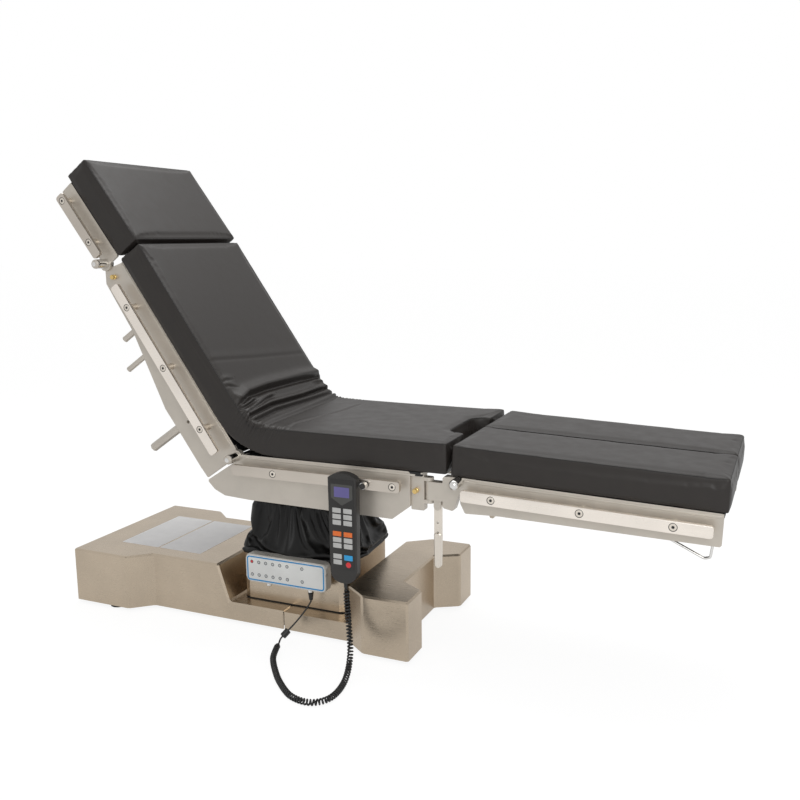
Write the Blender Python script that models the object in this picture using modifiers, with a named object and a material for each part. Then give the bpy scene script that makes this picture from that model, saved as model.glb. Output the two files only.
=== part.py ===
# Electro-hydraulic operating table with a split leg section, hand control and lifting column.
# Metres, +Z up, +X towards the foot end. The origin is on the floor under the middle of the table.

import math

import bmesh
import bpy
from mathutils import Matrix, Vector

# Clearances shared by the whole table
GAP = 0.0003
RUN_GAP = 0.0004
OVERRUN = 0.02
WELD_SPAN = 0.00001
ROUND_ANGLE = math.radians(35)
FLAT_ANGLE = math.radians(0.1)
FINE_SIDES = 16
ROUND_SIDES = 12
SMALL_SIDES = 8
HEX_SIDES = 6
CORNER_STEPS = 2
EDGE_STEPS = 1
BAY_STEPS = 5

# Base covers, measured from the middle of the base
BASE_HALF_LENGTH = 0.545
BASE_TOP = 0.170
COVER_LOW = 0.011
COVER_WALL = 0.0025
COVER_EDGE = 0.005
WING_HALF = 0.2415
WAIST_HALF = 0.1905
HEAD_WING_LENGTH = 0.196
HEAD_TAPER = 0.057
FOOT_WING_LENGTH = 0.130
FOOT_TAPER = 0.065
NOTCH_DEPTH = 0.066
NOTCH_HALF = 0.106
NOTCH_MOUTH_HALF = 0.145
RECESS_REACH = 0.21625
RECESS_SLOPE = 0.035
RECESS_FLOOR = 0.062
COVER_SEAM_SHIFT = -0.00225
SEAM_GAP = 0.0008
FOOT_COVER_START = BASE_HALF_LENGTH - FOOT_WING_LENGTH - FOOT_TAPER

# Cast chassis under the covers
CHASSIS_LOW = 0.0215
CHASSIS_THICK = 0.025
CHASSIS_TOP = CHASSIS_LOW + CHASSIS_THICK

# Brake feet
BRAKE_PAD_RADIUS = 0.026
BRAKE_PAD_HEIGHT = 0.012
BRAKE_TRAVEL = 0.008
BRAKE_STEM_RADIUS = 0.010
BRAKE_GUIDE_RADIUS = 0.018
BRAKE_GUIDE_TOP = 0.072
BRAKE_STEM_TOP = 0.084
BRAKE_HEAD_INSET = 0.130
BRAKE_HEAD_Y = 0.205
BRAKE_FOOT_INSET = 0.045
BRAKE_FOOT_Y = 0.1775

# Castors
WHEEL_RADIUS = 0.030
WHEEL_WIDTH = 0.022
WHEEL_LIFT = 0.003
WHEEL_TREAD = 0.005
CASTOR_TRAIL = 0.016
CASTOR_HEAD_INSET = 0.095
CASTOR_FOOT_INSET = 0.133
CASTOR_Y = 0.130
CASTOR_WELL = 0.052
FORK_PLATE = 0.004
FORK_TOP_GAP = 0.003
FORK_SIDE_GAP = 0.0015
FORK_RADIUS = 0.013
AXLE_RADIUS = 0.004
SWIVEL_PIN_RADIUS = 0.006
SWIVEL_HEAD_RADIUS = 0.010
SWIVEL_HEAD = 0.005
BRIDGE_THICK = 0.008
BRIDGE_LENGTH = 0.030
BRIDGE_FOOT = 0.010

# Pump and battery inside the head end
INNER_START_INSET = 0.200
INNER_END_ROOM = 0.041
BATTERY_SHARE = 0.4375
PUMP_SHARE = 0.50
BATTERY_Y = -0.150
BATTERY_WIDTH = 0.140
BATTERY_HEIGHT = 0.095
PUMP_HALF_WIDTH = 0.060
PUMP_HEIGHT = 0.060
MOTOR_RADIUS = 0.034
INNER_EDGE = 0.004

# Lifting column
COLUMN_ROOM = 0.034
STAGE_WALL = 0.009
STAGE_CORNER = 0.012
STAGE_HALF_X = 0.096
STAGE_HALF_Y = 0.076
STAGE_GAP = 0.0005
OUTER_STAGE_TOP = 0.318
MIDDLE_STAGE_TOP = 0.330
STAGE_FLANGE = 0.012
STAGE_FLANGE_LIP = 0.020
STAGE_FOOT_GAP = 0.006
LIFT_TRAVEL = 0.300
HEAD_PLATE_LOW = 0.344
HEAD_PLATE_THICK = 0.018
HEAD_PLATE_HALF_X = 0.105
HEAD_PLATE_HALF_Y = 0.086

# Column cover, bellows
SLEEVE_HALF_X = 0.16375
COLUMN_X = FOOT_COVER_START - COLUMN_ROOM - SLEEVE_HALF_X
RECESS_TOP_X = COLUMN_X - RECESS_REACH
COVER_SEAM_X = COLUMN_X + COVER_SEAM_SHIFT
SLEEVE_HALF_Y = 0.140
SLEEVE_CORNER = 0.020
SLEEVE_WALL = 0.002
SLEEVE_TOP = 0.205
BELLOWS_LOW = 0.197
BELLOWS_TOP = 0.361
BELLOWS_WALL = 0.0024
BELLOWS_HEM_GAP = 0.004
BELLOWS_SWELL = 0.009
BELLOWS_TOP_LIP = 0.006

# Tilting head of the column
TILT_AXIS_Z = 0.435
EAR_INNER = 0.052
EAR_THICK = 0.014
EAR_RADIUS = 0.022
EAR_HALF_LENGTH = 0.030
TRUNNION_RADIUS = 0.0125
CROSS_HALF_X = 0.0675
CROSS_HALF_Z = 0.018
HANGER_THICK = 0.014
TRUNNION_END_GAP = 0.001

# Frame plates of the upper table
PAD_HALF = 0.2395
OUTER_PLATE_IN = 0.2292
OUTER_PLATE_OUT = 0.2362
INNER_PLATE_IN = 0.2205
INNER_PLATE_OUT = 0.2288
DECK_TOP = 0.0078
DECK_THICK = 0.004
PLATE_CORNER = 0.004
LUG_RADIUS = 0.018
PIVOT_PIN_RADIUS = 0.009
PIVOT_CAP_RADIUS = 0.0125
PIVOT_CAP_OUT = 0.281
CROSS_TUBE_RADIUS = 0.012

# Accessory rails
RAIL_HEIGHT = 0.028
RAIL_THICK = 0.010
RAIL_OUT = 0.2664
RAIL_EDGE = 0.0015
SPACER_RADIUS = 0.009
BOLT_RADIUS = 0.0085
BOLT_PROUD = 0.0016

# Pads
PAD_THICK = 0.079
PAD_EDGE = 0.009
PAD_LIFT = 0.0006
PAD_CROWN = 0.004
PAD_CROWN_RUN = 0.060
PAD_WAIST = 0.002
PAD_JOINT_GAP = 0.008
SOFT_SHARE = 0.3

# Seat section, measured from the back pivot
PIVOT_REACH = 0.10625
PIVOT_X = COLUMN_X - PIVOT_REACH
PIVOT_Z = 0.503
SEAT_PLATE_LENGTH = 0.506
SEAT_PLATE_DEPTH = 0.119
SEAT_DECK_START = 0.024
SEAT_RAIL_START = 0.004
SEAT_RAIL_INSET = 0.016
SEAT_RAIL_END = SEAT_PLATE_LENGTH - SEAT_RAIL_INSET
SEAT_RAIL_Z = -0.028
SEAT_PAD_START = 0.026
SEAT_PAD_LEAN = 0.044
SEAT_PAD_OVERHANG = 0.097
SEAT_PAD_END = SEAT_PLATE_LENGTH + SEAT_PAD_OVERHANG
CUT_OUT_DEPTH = 0.050
CUT_OUT_HALF = 0.104
CUT_OUT_CORNER = 0.040
# Corners of the side plate as shares of its length and of its depth below the pivot
SEAT_PLATE_SHARES = ((0.0, -0.10), (-0.190, -0.62), (-0.144, -0.815), (-0.081, -0.935), (0.075, -0.97),
                     (0.903, -1.0), (1.0, -0.68))
# Places of the bolts as shares of the rail's length
SEAT_BOLT_SHARES = (0.260, 0.637, 0.960)

# Back section, measured along the back from its pivot
BACK_ANGLE = math.radians(55.5)
BACK_PLATE_LENGTH = 0.620
BACK_PLATE_DEPTH = 0.126
BACK_DECK_START = 0.030
BACK_RAIL_START = 0.036
BACK_RAIL_INSET = 0.048
BACK_RAIL_END = BACK_PLATE_LENGTH - BACK_RAIL_INSET
BACK_RAIL_N = -0.034
BACK_PAD_START = 0.026
BACK_PAD_LEAN = 0.044
BACK_PAD_OVERHANG = 0.010
BACK_PAD_END = BACK_PLATE_LENGTH + BACK_PAD_OVERHANG
BACK_HOLE_SHARES = (0.253, -0.651)
BACK_HOLE_RADIUS = 0.005
# Corners of the side plate: distance along the back, and depth under the pivot line, as shares
BACK_PLATE_SHARES = ((0.0, -0.12), (0.042, -0.98), (0.274, -0.99), (0.361, -1.0), (0.623, -0.77), (0.732, -0.675),
                     (0.978, -0.63), (1.030, -0.46))
BACK_BOLT_SHARES = (0.143, 0.505, 0.868)
BACK_TUBE_SHARES = ((0.22, -0.40), (0.955, -0.40))
# Posts under the side plates: place as a share of the back's length, first and last depth, radius, distance
# from the middle of the table
POST_SHARES = (0.261, 0.615, 0.734)
POST_SIZES = ((0.090, 0.241, 0.0125, 0.2125), (0.080, 0.174, 0.008, 0.2165), (0.070, 0.132, 0.009, 0.2160))

# Head section, measured from its own pivot
HEAD_PIVOT_REACH = 0.029
HEAD_PIVOT_S = BACK_PLATE_LENGTH + HEAD_PIVOT_REACH
HEAD_PIVOT_N = -0.043
HEAD_ANGLE = math.radians(-2.0)
HEAD_PLATE_LENGTH = 0.238
HEAD_RAIL_START = 0.0155
HEAD_RAIL_INSET = 0.017
HEAD_RAIL_END = HEAD_PLATE_LENGTH - HEAD_RAIL_INSET
HEAD_RAIL_N = 0.014
HEAD_PAD_START = -0.0165
HEAD_PAD_OVERHANG = 0.020
HEAD_PAD_END = HEAD_PLATE_LENGTH + HEAD_PAD_OVERHANG
HEAD_BOLT_SHARES = (0.229, 0.909)
HEAD_LOBE_RADIUS = 0.020

# Spreading hinge between seat and legs
BRACKET_LENGTH = 0.034
SPREAD_PIN_REACH = 0.011
LEG_PIVOT_REACH = 0.082
BRACKET_START = PIVOT_X + SEAT_PLATE_LENGTH
BRACKET_END = BRACKET_START + BRACKET_LENGTH
SPREAD_PIN_X = BRACKET_END + SPREAD_PIN_REACH
LEG_PIVOT_X = SPREAD_PIN_X + LEG_PIVOT_REACH
SPREAD_PIN_RADIUS = 0.006
BRACKET_TOP = 0.491
BRACKET_LOW = 0.413
EAR_PLATE = 0.009
CLEVIS_LOW = 0.441
CLEVIS_TOP = 0.488
CLEVIS_KNUCKLE_RADIUS = 0.0105
LEG_TONGUE_IN = 0.2050
LEG_TONGUE_OUT = 0.2288
# Corners of the fan-shaped tongue, as shares of the knuckle's distance and the plate's depth
TONGUE_SHARES = ((-0.54, 0.10), (-0.54, -1.12), (-0.20, -1.20), (0.05, -0.30), (0.10, 0.12))

# Leg sections, measured from their tilting pivots
LEG_PIVOT_Z = 0.498
LEG_ANGLE = math.radians(2.0)
LEG_PLATE_LENGTH = 0.603
LEG_PLATE_DEPTH = 0.065
LEG_RAIL_START = 0.015
LEG_RAIL_INSET = 0.017
LEG_RAIL_END = LEG_PLATE_LENGTH - LEG_RAIL_INSET
LEG_RAIL_Z = -0.026
LEG_PAD_START = SEAT_PAD_END + PAD_JOINT_GAP - (LEG_PIVOT_X - PIVOT_X)
LEG_PAD_OVERHANG = 0.010
LEG_PAD_END = LEG_PLATE_LENGTH + LEG_PAD_OVERHANG
LEG_PAD_SPLIT = 0.001
LEG_PLATE_SHARES = ((0.0, 0.0), (0.010, -0.83), (0.031, -1.19), (0.171, -1.10), (1.0, -1.0))
LEG_BOLT_SHARES = (0.133, 0.4975, 0.8545)
LEG_TUBE_SHARES = ((0.15, -0.35), (0.97, -0.45))
WIRE_LOOP_RADIUS = 0.003
WIRE_LOOP_Y = 0.150
WIRE_LOOP_SHARES = ((0.62, 0.10), (0.70, -0.80), (0.935, -1.40), (0.960, -1.36), (0.978, 0.05))
LEG_LUG_RADIUS = 0.0098
LEG_PIN_RADIUS = 0.0060
LEG_DECK_TOP = 0.0100
LEG_INNER_BAR = 0.020
LEG_INNER_BAR_Y = 0.030
LEG_INNER_PLATE = 0.012

# Leg release lever
LEVER_REACH = 0.022
LEVER_Z = 0.425
LEVER_THICK = 0.009
LEVER_WAIST_Z = 0.350
LEVER_END_Z = 0.268
LEVER_TOP_WIDTH = 0.019
LEVER_END_WIDTH = 0.016
LEVER_PIN_RADIUS = 0.004
LEVER_HOLE_RADIUS = 0.003
LEVER_CHEEK = 0.003
LEVER_CHEEK_HALF = 0.0095
# Places of the small holes as shares of the lever's length
LEVER_HOLE_SHARES = (0.26, 0.42)

# Lock plungers
PLUNGER_RADIUS = 0.004
PLUNGER_KNOB_RADIUS = 0.0065
PLUNGER_KNOB = 0.009
PLUNGER_COLLAR = 0.004
PLUNGER_REACH = 0.007
PLUNGER_TRAVEL = 0.006
LEG_PLUNGER_INSET = 0.014
LEG_PLUNGER_X = BRACKET_START + LEG_PLUNGER_INSET
LEG_PLUNGER_Z = 0.463
HEAD_PLUNGER_INSET = 0.015
HEAD_PLUNGER_S = BACK_PLATE_LENGTH - HEAD_PLUNGER_INSET
HEAD_PLUNGER_N = -0.043

# Control box on the column
BOX_WIDTH = 0.253
BOX_SHIFT = 0.00425
BOX_START = COLUMN_X + BOX_SHIFT - BOX_WIDTH / 2
BOX_END = BOX_START + BOX_WIDTH
BOX_LOW = 0.135
BOX_TOP = 0.215
BOX_FACE = 0.187
BOX_DEPTH = 0.029
BOX_CORNER = 0.010
SPARE_SOCKET_X = BOX_START + BOX_WIDTH * 0.257
PANEL_THICK = 0.0015
PANEL_INSET = 0.004
KEY_RADIUS = 0.0062
KEY_PROUD = 0.0014
SOCKET_RADIUS = 0.008
SOCKET_DROP = 0.010
KEY_ROW_SHARES = (0.36, 0.74)
KEY_COLUMN_SHARES = (0.085, 0.175, 0.262, 0.350, 0.437, 0.524, 0.76)

# Hand control
HANDSET_REACH = 0.24175
HANDSET_X = COLUMN_X + HANDSET_REACH
HANDSET_LOW = 0.2205
HANDSET_TOP = 0.506
HANDSET_FRONT = 0.2965
HANDSET_BACK = 0.2737
HANDSET_TOP_WIDTH = 0.080
HANDSET_LOW_WIDTH = 0.073
HANDSET_EDGE = 0.004
HOOK_WIDTH = 0.030
HOOK_THICK = 0.0025
HOOK_SLACK = 0.0035
HOOK_DROP = 0.012
HOOK_KNOB_RADIUS = 0.0085
HOOK_KNOB_PROUD = 0.012
HANDSET_CORNER = 0.030
HANDSET_KEY_WIDTH = 0.015
HANDSET_KEY_HEIGHT = 0.010
HANDSET_ARCH_SHARE = 0.06
KEYPAD_WIDTH_SHARE = 0.80
KEYPAD_LOW_SHARE = 0.10
KEYPAD_TOP_SHARE = 0.93
SCREEN_SHARES = (0.74, 0.90)
SCREEN_TIP_SHARE = 0.03
SCREEN_HALF_SHARE = 0.44
HANDSET_KEY_SHARE = 0.26
HANDSET_KEY_ROW_SHARES = (0.16, 0.235, 0.31, 0.385, 0.46, 0.535, 0.61, 0.67)

# Cord of the hand control
PLUG_SHIFT = 0.07475
PLUG_X = COLUMN_X + PLUG_SHIFT
PLUG_RADIUS = 0.008
PLUG_LENGTH = 0.022
WIRE_RADIUS = 0.0025
CURL_RADIUS = 0.0085
CURL_COUNT = 36
CURL_POINTS = 8
CURL_END_POINTS = 3
CURL_ROUTE_STEPS = 12
LEAD_ROUTE_STEPS = 2
FERRITE_RADIUS = 0.009
FERRITE_LENGTH = 0.022
FERRITE_SLACK = 0.0008
# Routes as places from the column's axis, the table's middle and the floor
LEAD_ROUTE = ((0.0738, -0.1755, 0.0900), (0.0700, -0.1820, 0.0805), (0.0630, -0.1925, 0.0690),
              (0.0550, -0.2050, 0.0580), (0.0478, -0.2180, 0.0480), (0.0408, -0.2310, 0.0380),
              (0.0338, -0.2440, 0.0280), (0.0268, -0.2570, 0.0180))
CURL_ROUTE = ((0.0313, -0.2780, 0.0103), (0.0398, -0.304, 0.0103), (0.0618, -0.354, 0.0103),
              (0.1028, -0.410, 0.0103), (0.1478, -0.460, 0.0103), (0.2058, -0.506, 0.0103),
              (0.2628, -0.513, 0.0103), (0.2948, -0.473, 0.0103), (0.2878, -0.390, 0.0108),
              (0.2678, -0.320, 0.0400), (0.2508, -0.290, 0.1000), (0.2438, -0.286, 0.1700),
              (0.2428, -0.286, 0.2020))


def clear_scene():
    for old in list(bpy.data.objects):
        bpy.data.objects.remove(old)


def new_collection(name):
    made = bpy.data.collections.new(name)
    bpy.context.scene.collection.children.link(made)
    return made


def material(name, colour, metallic, roughness):
    made = bpy.data.materials.new(name)
    made.use_nodes = True
    shader = made.node_tree.nodes["Principled BSDF"]
    shader.inputs["Base Color"].default_value = (*colour, 1.0)
    shader.inputs["Metallic"].default_value = metallic
    shader.inputs["Roughness"].default_value = roughness
    return made


clear_scene()
PARTS = new_collection("operating_table")
CUTTERS = new_collection("operating_table_cutters")

STEEL = material("brushed_steel", (0.62, 0.58, 0.52), 1.0, 0.34)
CHROME = material("chrome", (0.75, 0.75, 0.75), 1.0, 0.12)
PAINT = material("frame_paint", (0.40, 0.39, 0.36), 0.2, 0.45)
IRON = material("chassis_iron", (0.10, 0.10, 0.11), 0.4, 0.60)
PAD_BLACK = material("pad_cover", (0.035, 0.033, 0.032), 0.0, 0.48)
CLOTH_BLACK = material("bellows_cover", (0.012, 0.012, 0.013), 0.0, 0.55)
RUBBER = material("rubber", (0.02, 0.02, 0.02), 0.0, 0.80)
PLASTIC = material("handset_plastic", (0.03, 0.03, 0.03), 0.0, 0.40)
PANEL = material("panel_film", (0.62, 0.64, 0.62), 0.0, 0.40)
BRASS = material("brass", (0.72, 0.52, 0.22), 1.0, 0.25)
BOX_PAINT = material("box_paint", (0.55, 0.55, 0.53), 0.3, 0.40)


def frame(name, place, parent=None, turn=(0, 0, 0)):
    """An empty that carries a group of pieces, on the axis about which they move."""
    made = bpy.data.objects.new(name, None)
    PARTS.objects.link(made)
    made.parent = parent
    made.location = place
    made.rotation_euler = turn
    return made


def bake(item):
    """Turn an object's modifiers into its mesh."""
    graph = bpy.context.evaluated_depsgraph_get()
    graph.update()
    item.data = bpy.data.meshes.new_from_object(item.evaluated_get(graph))
    item.modifiers.clear()
    return item


def wrap(name, mesh):
    made = bpy.data.objects.new(name, mesh)
    CUTTERS.objects.link(made)
    made.display_type = "WIRE"
    made.hide_render = True
    return made


def from_bmesh(name, form):
    mesh = bpy.data.meshes.new(name)
    bmesh.ops.recalc_face_normals(form, faces=form.faces)
    form.to_mesh(mesh)
    form.free()
    return wrap(name, mesh)


def block(name, low, high, edge=0, segments=1):
    """A box between two corners, with its edges rounded by the given width."""
    form = bmesh.new()
    size = [b - a for a, b in zip(low, high)]
    middle = [(a + b) / 2 for a, b in zip(low, high)]
    placed = Matrix.Translation(middle) @ Matrix.Diagonal((*size, 1))
    bmesh.ops.create_cube(form, size=1, matrix=placed)
    made = from_bmesh(name, form)
    if edge:
        soften(made, edge, segments)
    return made


def soften(item, width, segments=1, angle=ROUND_ANGLE):
    bevel = item.modifiers.new("edges", "BEVEL")
    bevel.width = width
    bevel.segments = segments
    bevel.limit_method = "ANGLE"
    bevel.angle_limit = angle
    return bake(item)


def rod(name, start, end, radius, sides=ROUND_SIDES, end_radius=None):
    """A round bar between two points."""
    start = Vector(start)
    along = Vector(end) - start
    form = bmesh.new()
    turn = along.to_track_quat("Z", "Y").to_matrix().to_4x4()
    placed = Matrix.Translation(start + along / 2) @ turn
    last = radius if end_radius is None else end_radius
    bmesh.ops.create_cone(form, cap_ends=True, segments=sides, radius1=radius, radius2=last,
                          depth=along.length, matrix=placed)
    return from_bmesh(name, form)


def turned(name, profile, place, turn=(0, 0, 0), steps=ROUND_SIDES):
    """A closed profile of (radius, height) points spun about an axis at the given place."""
    mesh = bpy.data.meshes.new(name)
    form = bmesh.new()
    points = [form.verts.new((radius, 0, height)) for radius, height in profile]
    for first, second in zip(points, points[1:]):
        form.edges.new((first, second))
    form.to_mesh(mesh)
    form.free()
    made = wrap(name, mesh)
    screw = made.modifiers.new("spin", "SCREW")
    screw.steps = steps
    screw.render_steps = steps
    screw.use_merge_vertices = True
    screw.merge_threshold = WELD_SPAN
    bake(made)
    spun = Matrix.Translation(place) @ Matrix.Rotation(turn[1], 4, "Y") @ Matrix.Rotation(turn[0], 4, "X")
    made.data.transform(spun)
    return made


def rounded(points, radius, steps=CORNER_STEPS):
    """An outline with each corner replaced by an arc."""
    count = len(points)
    outline = []
    for index, point in enumerate(points):
        corner = Vector(point)
        before = Vector(points[index - 1]) - corner
        after = Vector(points[(index + 1) % count]) - corner
        half = before.angle(after) / 2
        reach = min(radius / math.tan(half), before.length * 0.45, after.length * 0.45)
        arc_radius = reach * math.tan(half)
        middle = corner + (before.normalized() + after.normalized()).normalized() * (arc_radius / math.sin(half))
        start = corner + before.normalized() * reach - middle
        finish = corner + after.normalized() * reach - middle
        sweep = start.angle_signed(finish)
        for step in range(steps + 1):
            turn = Matrix.Rotation(-sweep * step / steps, 2)
            outline.append(tuple(middle + turn @ start))
    return outline


def rectangle(half_x, half_y, corner, centre=(0, 0), steps=CORNER_STEPS):
    x, y = centre
    corners = [(x - half_x, y - half_y), (x + half_x, y - half_y), (x + half_x, y + half_y), (x - half_x, y + half_y)]
    return rounded(corners, corner, steps)


def arc(centre, radius, first, last, steps):
    """Points along an arc between two angles in degrees."""
    turns = [math.radians(first + (last - first) * step / steps) for step in range(steps + 1)]
    return [(centre[0] + radius * math.cos(turn), centre[1] + radius * math.sin(turn)) for turn in turns]


def prism(name, outlines, low, high, across="Z"):
    """A flat outline, with holes if it has any, made thick along one axis."""
    curve = bpy.data.curves.new(name, "CURVE")
    curve.dimensions = "2D"
    curve.fill_mode = "BOTH"
    curve.extrude = (high - low) / 2
    for outline in outlines:
        spline = curve.splines.new("POLY")
        spline.points.add(len(outline) - 1)
        for point, (u, v) in zip(spline.points, outline):
            point.co = (u, v, 0, 1)
        spline.use_cyclic_u = True
    guide = wrap(name + "_outline", curve)
    graph = bpy.context.evaluated_depsgraph_get()
    graph.update()
    mesh = bpy.data.meshes.new_from_object(guide.evaluated_get(graph))
    bpy.data.objects.remove(guide)
    form = bmesh.new()
    form.from_mesh(mesh)
    bmesh.ops.remove_doubles(form, verts=form.verts, dist=WELD_SPAN)
    middle = (low + high) / 2
    turns = {
        "Z": Matrix.Translation((0, 0, middle)),
        "Y": Matrix.Translation((0, middle, 0)) @ Matrix.Rotation(math.pi / 2, 4, "X"),
        "X": Matrix.Translation((middle, 0, 0)) @ Matrix(((0, 0, 1, 0), (1, 0, 0, 0), (0, 1, 0, 0), (0, 0, 0, 1))),
    }
    form.transform(turns[across])
    bmesh.ops.recalc_face_normals(form, faces=form.faces)
    form.to_mesh(mesh)
    form.free()
    return wrap(name, mesh)


def pipe(name, points, radius, sides=2, closed=False):
    """A round tube along a list of points, as a closed mesh."""
    curve = bpy.data.curves.new(name, "CURVE")
    curve.dimensions = "3D"
    curve.bevel_depth = radius
    curve.bevel_resolution = sides
    curve.use_fill_caps = True
    spline = curve.splines.new("POLY")
    spline.points.add(len(points) - 1)
    for knot, point in zip(spline.points, points):
        knot.co = (*point, 1)
    spline.use_cyclic_u = closed
    guide = wrap(name + "_path", curve)
    graph = bpy.context.evaluated_depsgraph_get()
    graph.update()
    mesh = bpy.data.meshes.new_from_object(guide.evaluated_get(graph))
    bpy.data.objects.remove(guide)
    form = bmesh.new()
    form.from_mesh(mesh)
    bmesh.ops.remove_doubles(form, verts=form.verts, dist=WELD_SPAN)
    bmesh.ops.recalc_face_normals(form, faces=form.faces)
    form.to_mesh(mesh)
    form.free()
    return wrap(name, mesh)


def combine(item, others, operation):
    for other in others:
        change = item.modifiers.new(other.name, "BOOLEAN")
        change.operation = operation
        change.object = other
        change.solver = "EXACT"
        bake(item)
        bpy.data.objects.remove(other)
    return item


def fuse(item, *others):
    return combine(item, others, "UNION")


def cut(item, *others):
    return combine(item, others, "DIFFERENCE")


def finish(item, name, parent, look, smooth=True):
    """Name a finished piece, give it its material and hang it on its frame."""
    CUTTERS.objects.unlink(item)
    PARTS.objects.link(item)
    item.name = name
    form = bmesh.new()
    form.from_mesh(item.data)
    bmesh.ops.dissolve_limit(form, angle_limit=FLAT_ANGLE, verts=form.verts, edges=form.edges)
    form.to_mesh(item.data)
    form.free()
    item.data.name = name
    item.display_type = "TEXTURED"
    item.hide_render = False
    item.data.materials.clear()
    item.data.materials.append(look)
    item.parent = parent
    if smooth:
        item.data.shade_smooth()
        item.data.set_sharp_from_angle(angle=ROUND_ANGLE)
    return item


# Frames: each empty stands on the axis of the joint that moves its pieces
MODEL_START = -BASE_HALF_LENGTH
MODEL_END = LEG_PIVOT_X + (LEG_PAD_END + GAP) * math.cos(LEG_ANGLE)
CENTRE_X = (MODEL_START + MODEL_END) / 2
TABLE = frame("table", (-CENTRE_X, 0, 0))
COLUMN_BASE = frame("column_axis", (COLUMN_X, 0, 0), TABLE)
LIFT_MIDDLE = frame("lift_middle", (0, 0, 0), COLUMN_BASE)
LIFT = frame("lift", (0, 0, 0), COLUMN_BASE)
TREND = frame("trendelenburg_axis", (0, 0, TILT_AXIS_Z), LIFT)
LATERAL = frame("lateral_axis", (0, 0, 0), TREND)
SEAT = frame("seat_origin", (PIVOT_X - COLUMN_X, 0, PIVOT_Z - TILT_AXIS_Z), LATERAL)
BACK = frame("back_pivot", (0, 0, 0), SEAT, (0, BACK_ANGLE, 0))
HEAD = frame("head_pivot", (-HEAD_PIVOT_S, 0, HEAD_PIVOT_N), BACK, (0, HEAD_ANGLE, 0))


def sides():
    """The two sides of the table with the sign of their Y."""
    return (("left", 1), ("right", -1))


# Base covers
def base_outline(start, end, inset):
    """Half of the base's outline between two stations, from the head end to the foot end."""
    head_slope = math.atan2(WING_HALF - WAIST_HALF, HEAD_TAPER)
    foot_slope = math.atan2(WING_HALF - WAIST_HALF, FOOT_TAPER)
    head_shift = inset * math.tan(head_slope / 2)
    foot_shift = inset * math.tan(foot_slope / 2)
    head_wing_end = HEAD_WING_LENGTH - BASE_HALF_LENGTH
    foot_wing_start = BASE_HALF_LENGTH - FOOT_WING_LENGTH
    corners = [
        (head_wing_end - head_shift, WING_HALF - inset),
        (head_wing_end + HEAD_TAPER - head_shift, WAIST_HALF - inset),
        (foot_wing_start - FOOT_TAPER + foot_shift, WAIST_HALF - inset),
        (foot_wing_start + foot_shift, WING_HALF - inset),
    ]
    inside = [corner for corner in corners if start < corner[0] < end]

    def half_width(x):
        if x <= corners[0][0]:
            return corners[0][1]
        for (x0, y0), (x1, y1) in zip(corners, corners[1:]):
            if x <= x1:
                return y0 + (y1 - y0) * (x - x0) / (x1 - x0)
        return corners[3][1]

    return [(start, half_width(start)), *inside, (end, half_width(end))]


def base_prism(name, start, end, inset, low, high, notch):
    """The base's outline between two stations as a solid, with the foot end's notch if asked."""
    near = base_outline(start, end, inset)
    outline = near + [(x, -y) for x, y in reversed(near)]
    made = prism(name, [outline], low, high)
    if notch:
        mouth = BASE_HALF_LENGTH + OVERRUN
        slope = (NOTCH_MOUTH_HALF - NOTCH_HALF) / NOTCH_DEPTH
        floor = BASE_HALF_LENGTH - NOTCH_DEPTH - inset
        wide = NOTCH_MOUTH_HALF + OVERRUN * slope + inset
        narrow = NOTCH_HALF + inset
        gap = [(floor, -narrow), (mouth, -wide), (mouth, wide), (floor, narrow)]
        cut(made, prism("notch", [gap], low - OVERRUN, high + OVERRUN))
    return made


def recess_cutter(inset):
    """The channel across the base in which the column stands."""
    floor = RECESS_FLOOR - inset
    sky = BASE_TOP + OVERRUN
    lean = RECESS_SLOPE * OVERRUN / (BASE_TOP - RECESS_FLOOR)
    far = FOOT_COVER_START + OVERRUN
    outline = [(RECESS_TOP_X - lean - inset, sky), (RECESS_TOP_X + RECESS_SLOPE - inset, floor), (far, floor), (far, sky)]
    return prism("recess", [outline], -WING_HALF - OVERRUN, WING_HALF + OVERRUN, "Y")


COLUMN_HOLE_LIP = STAGE_GAP * 4


def column_hole(name):
    hole = rectangle(STAGE_HALF_X + COLUMN_HOLE_LIP, STAGE_HALF_Y + COLUMN_HOLE_LIP, STAGE_CORNER, (COLUMN_X, 0))
    return prism(name, [hole], CHASSIS_TOP, RECESS_FLOOR + OVERRUN)


def below_cover():
    """The space under the covers' lower edge."""
    reach = BASE_HALF_LENGTH + OVERRUN
    return block("below", (-reach, -reach, -OVERRUN * 2), (reach, reach, COVER_LOW))


def head_cover():
    start = -BASE_HALF_LENGTH
    shell = base_prism("head_cover", start, COVER_SEAM_X, 0, COVER_LOW - OVERRUN, BASE_TOP, False)
    cut(shell, recess_cutter(0))
    soften(shell, COVER_EDGE, EDGE_STEPS)
    cut(shell, below_cover())
    inside = base_prism("inside", start + COVER_WALL, COVER_SEAM_X + OVERRUN, COVER_WALL, COVER_LOW - OVERRUN,
                        BASE_TOP - COVER_WALL, False)
    cut(inside, recess_cutter(COVER_WALL))
    cut(shell, inside, column_hole("column_hole"))
    return finish(shell, "base_head_cover", TABLE, STEEL)


def middle_cover():
    start = COVER_SEAM_X + SEAM_GAP
    end = FOOT_COVER_START - SEAM_GAP
    shell = base_prism("middle_cover", start, end, 0, COVER_LOW, RECESS_FLOOR, False)
    inside = base_prism("inside", start - OVERRUN, end + OVERRUN, COVER_WALL, COVER_LOW - OVERRUN,
                        RECESS_FLOOR - COVER_WALL, False)
    cut(shell, inside, column_hole("column_hole"))
    return finish(shell, "base_middle_cover", TABLE, STEEL)


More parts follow.
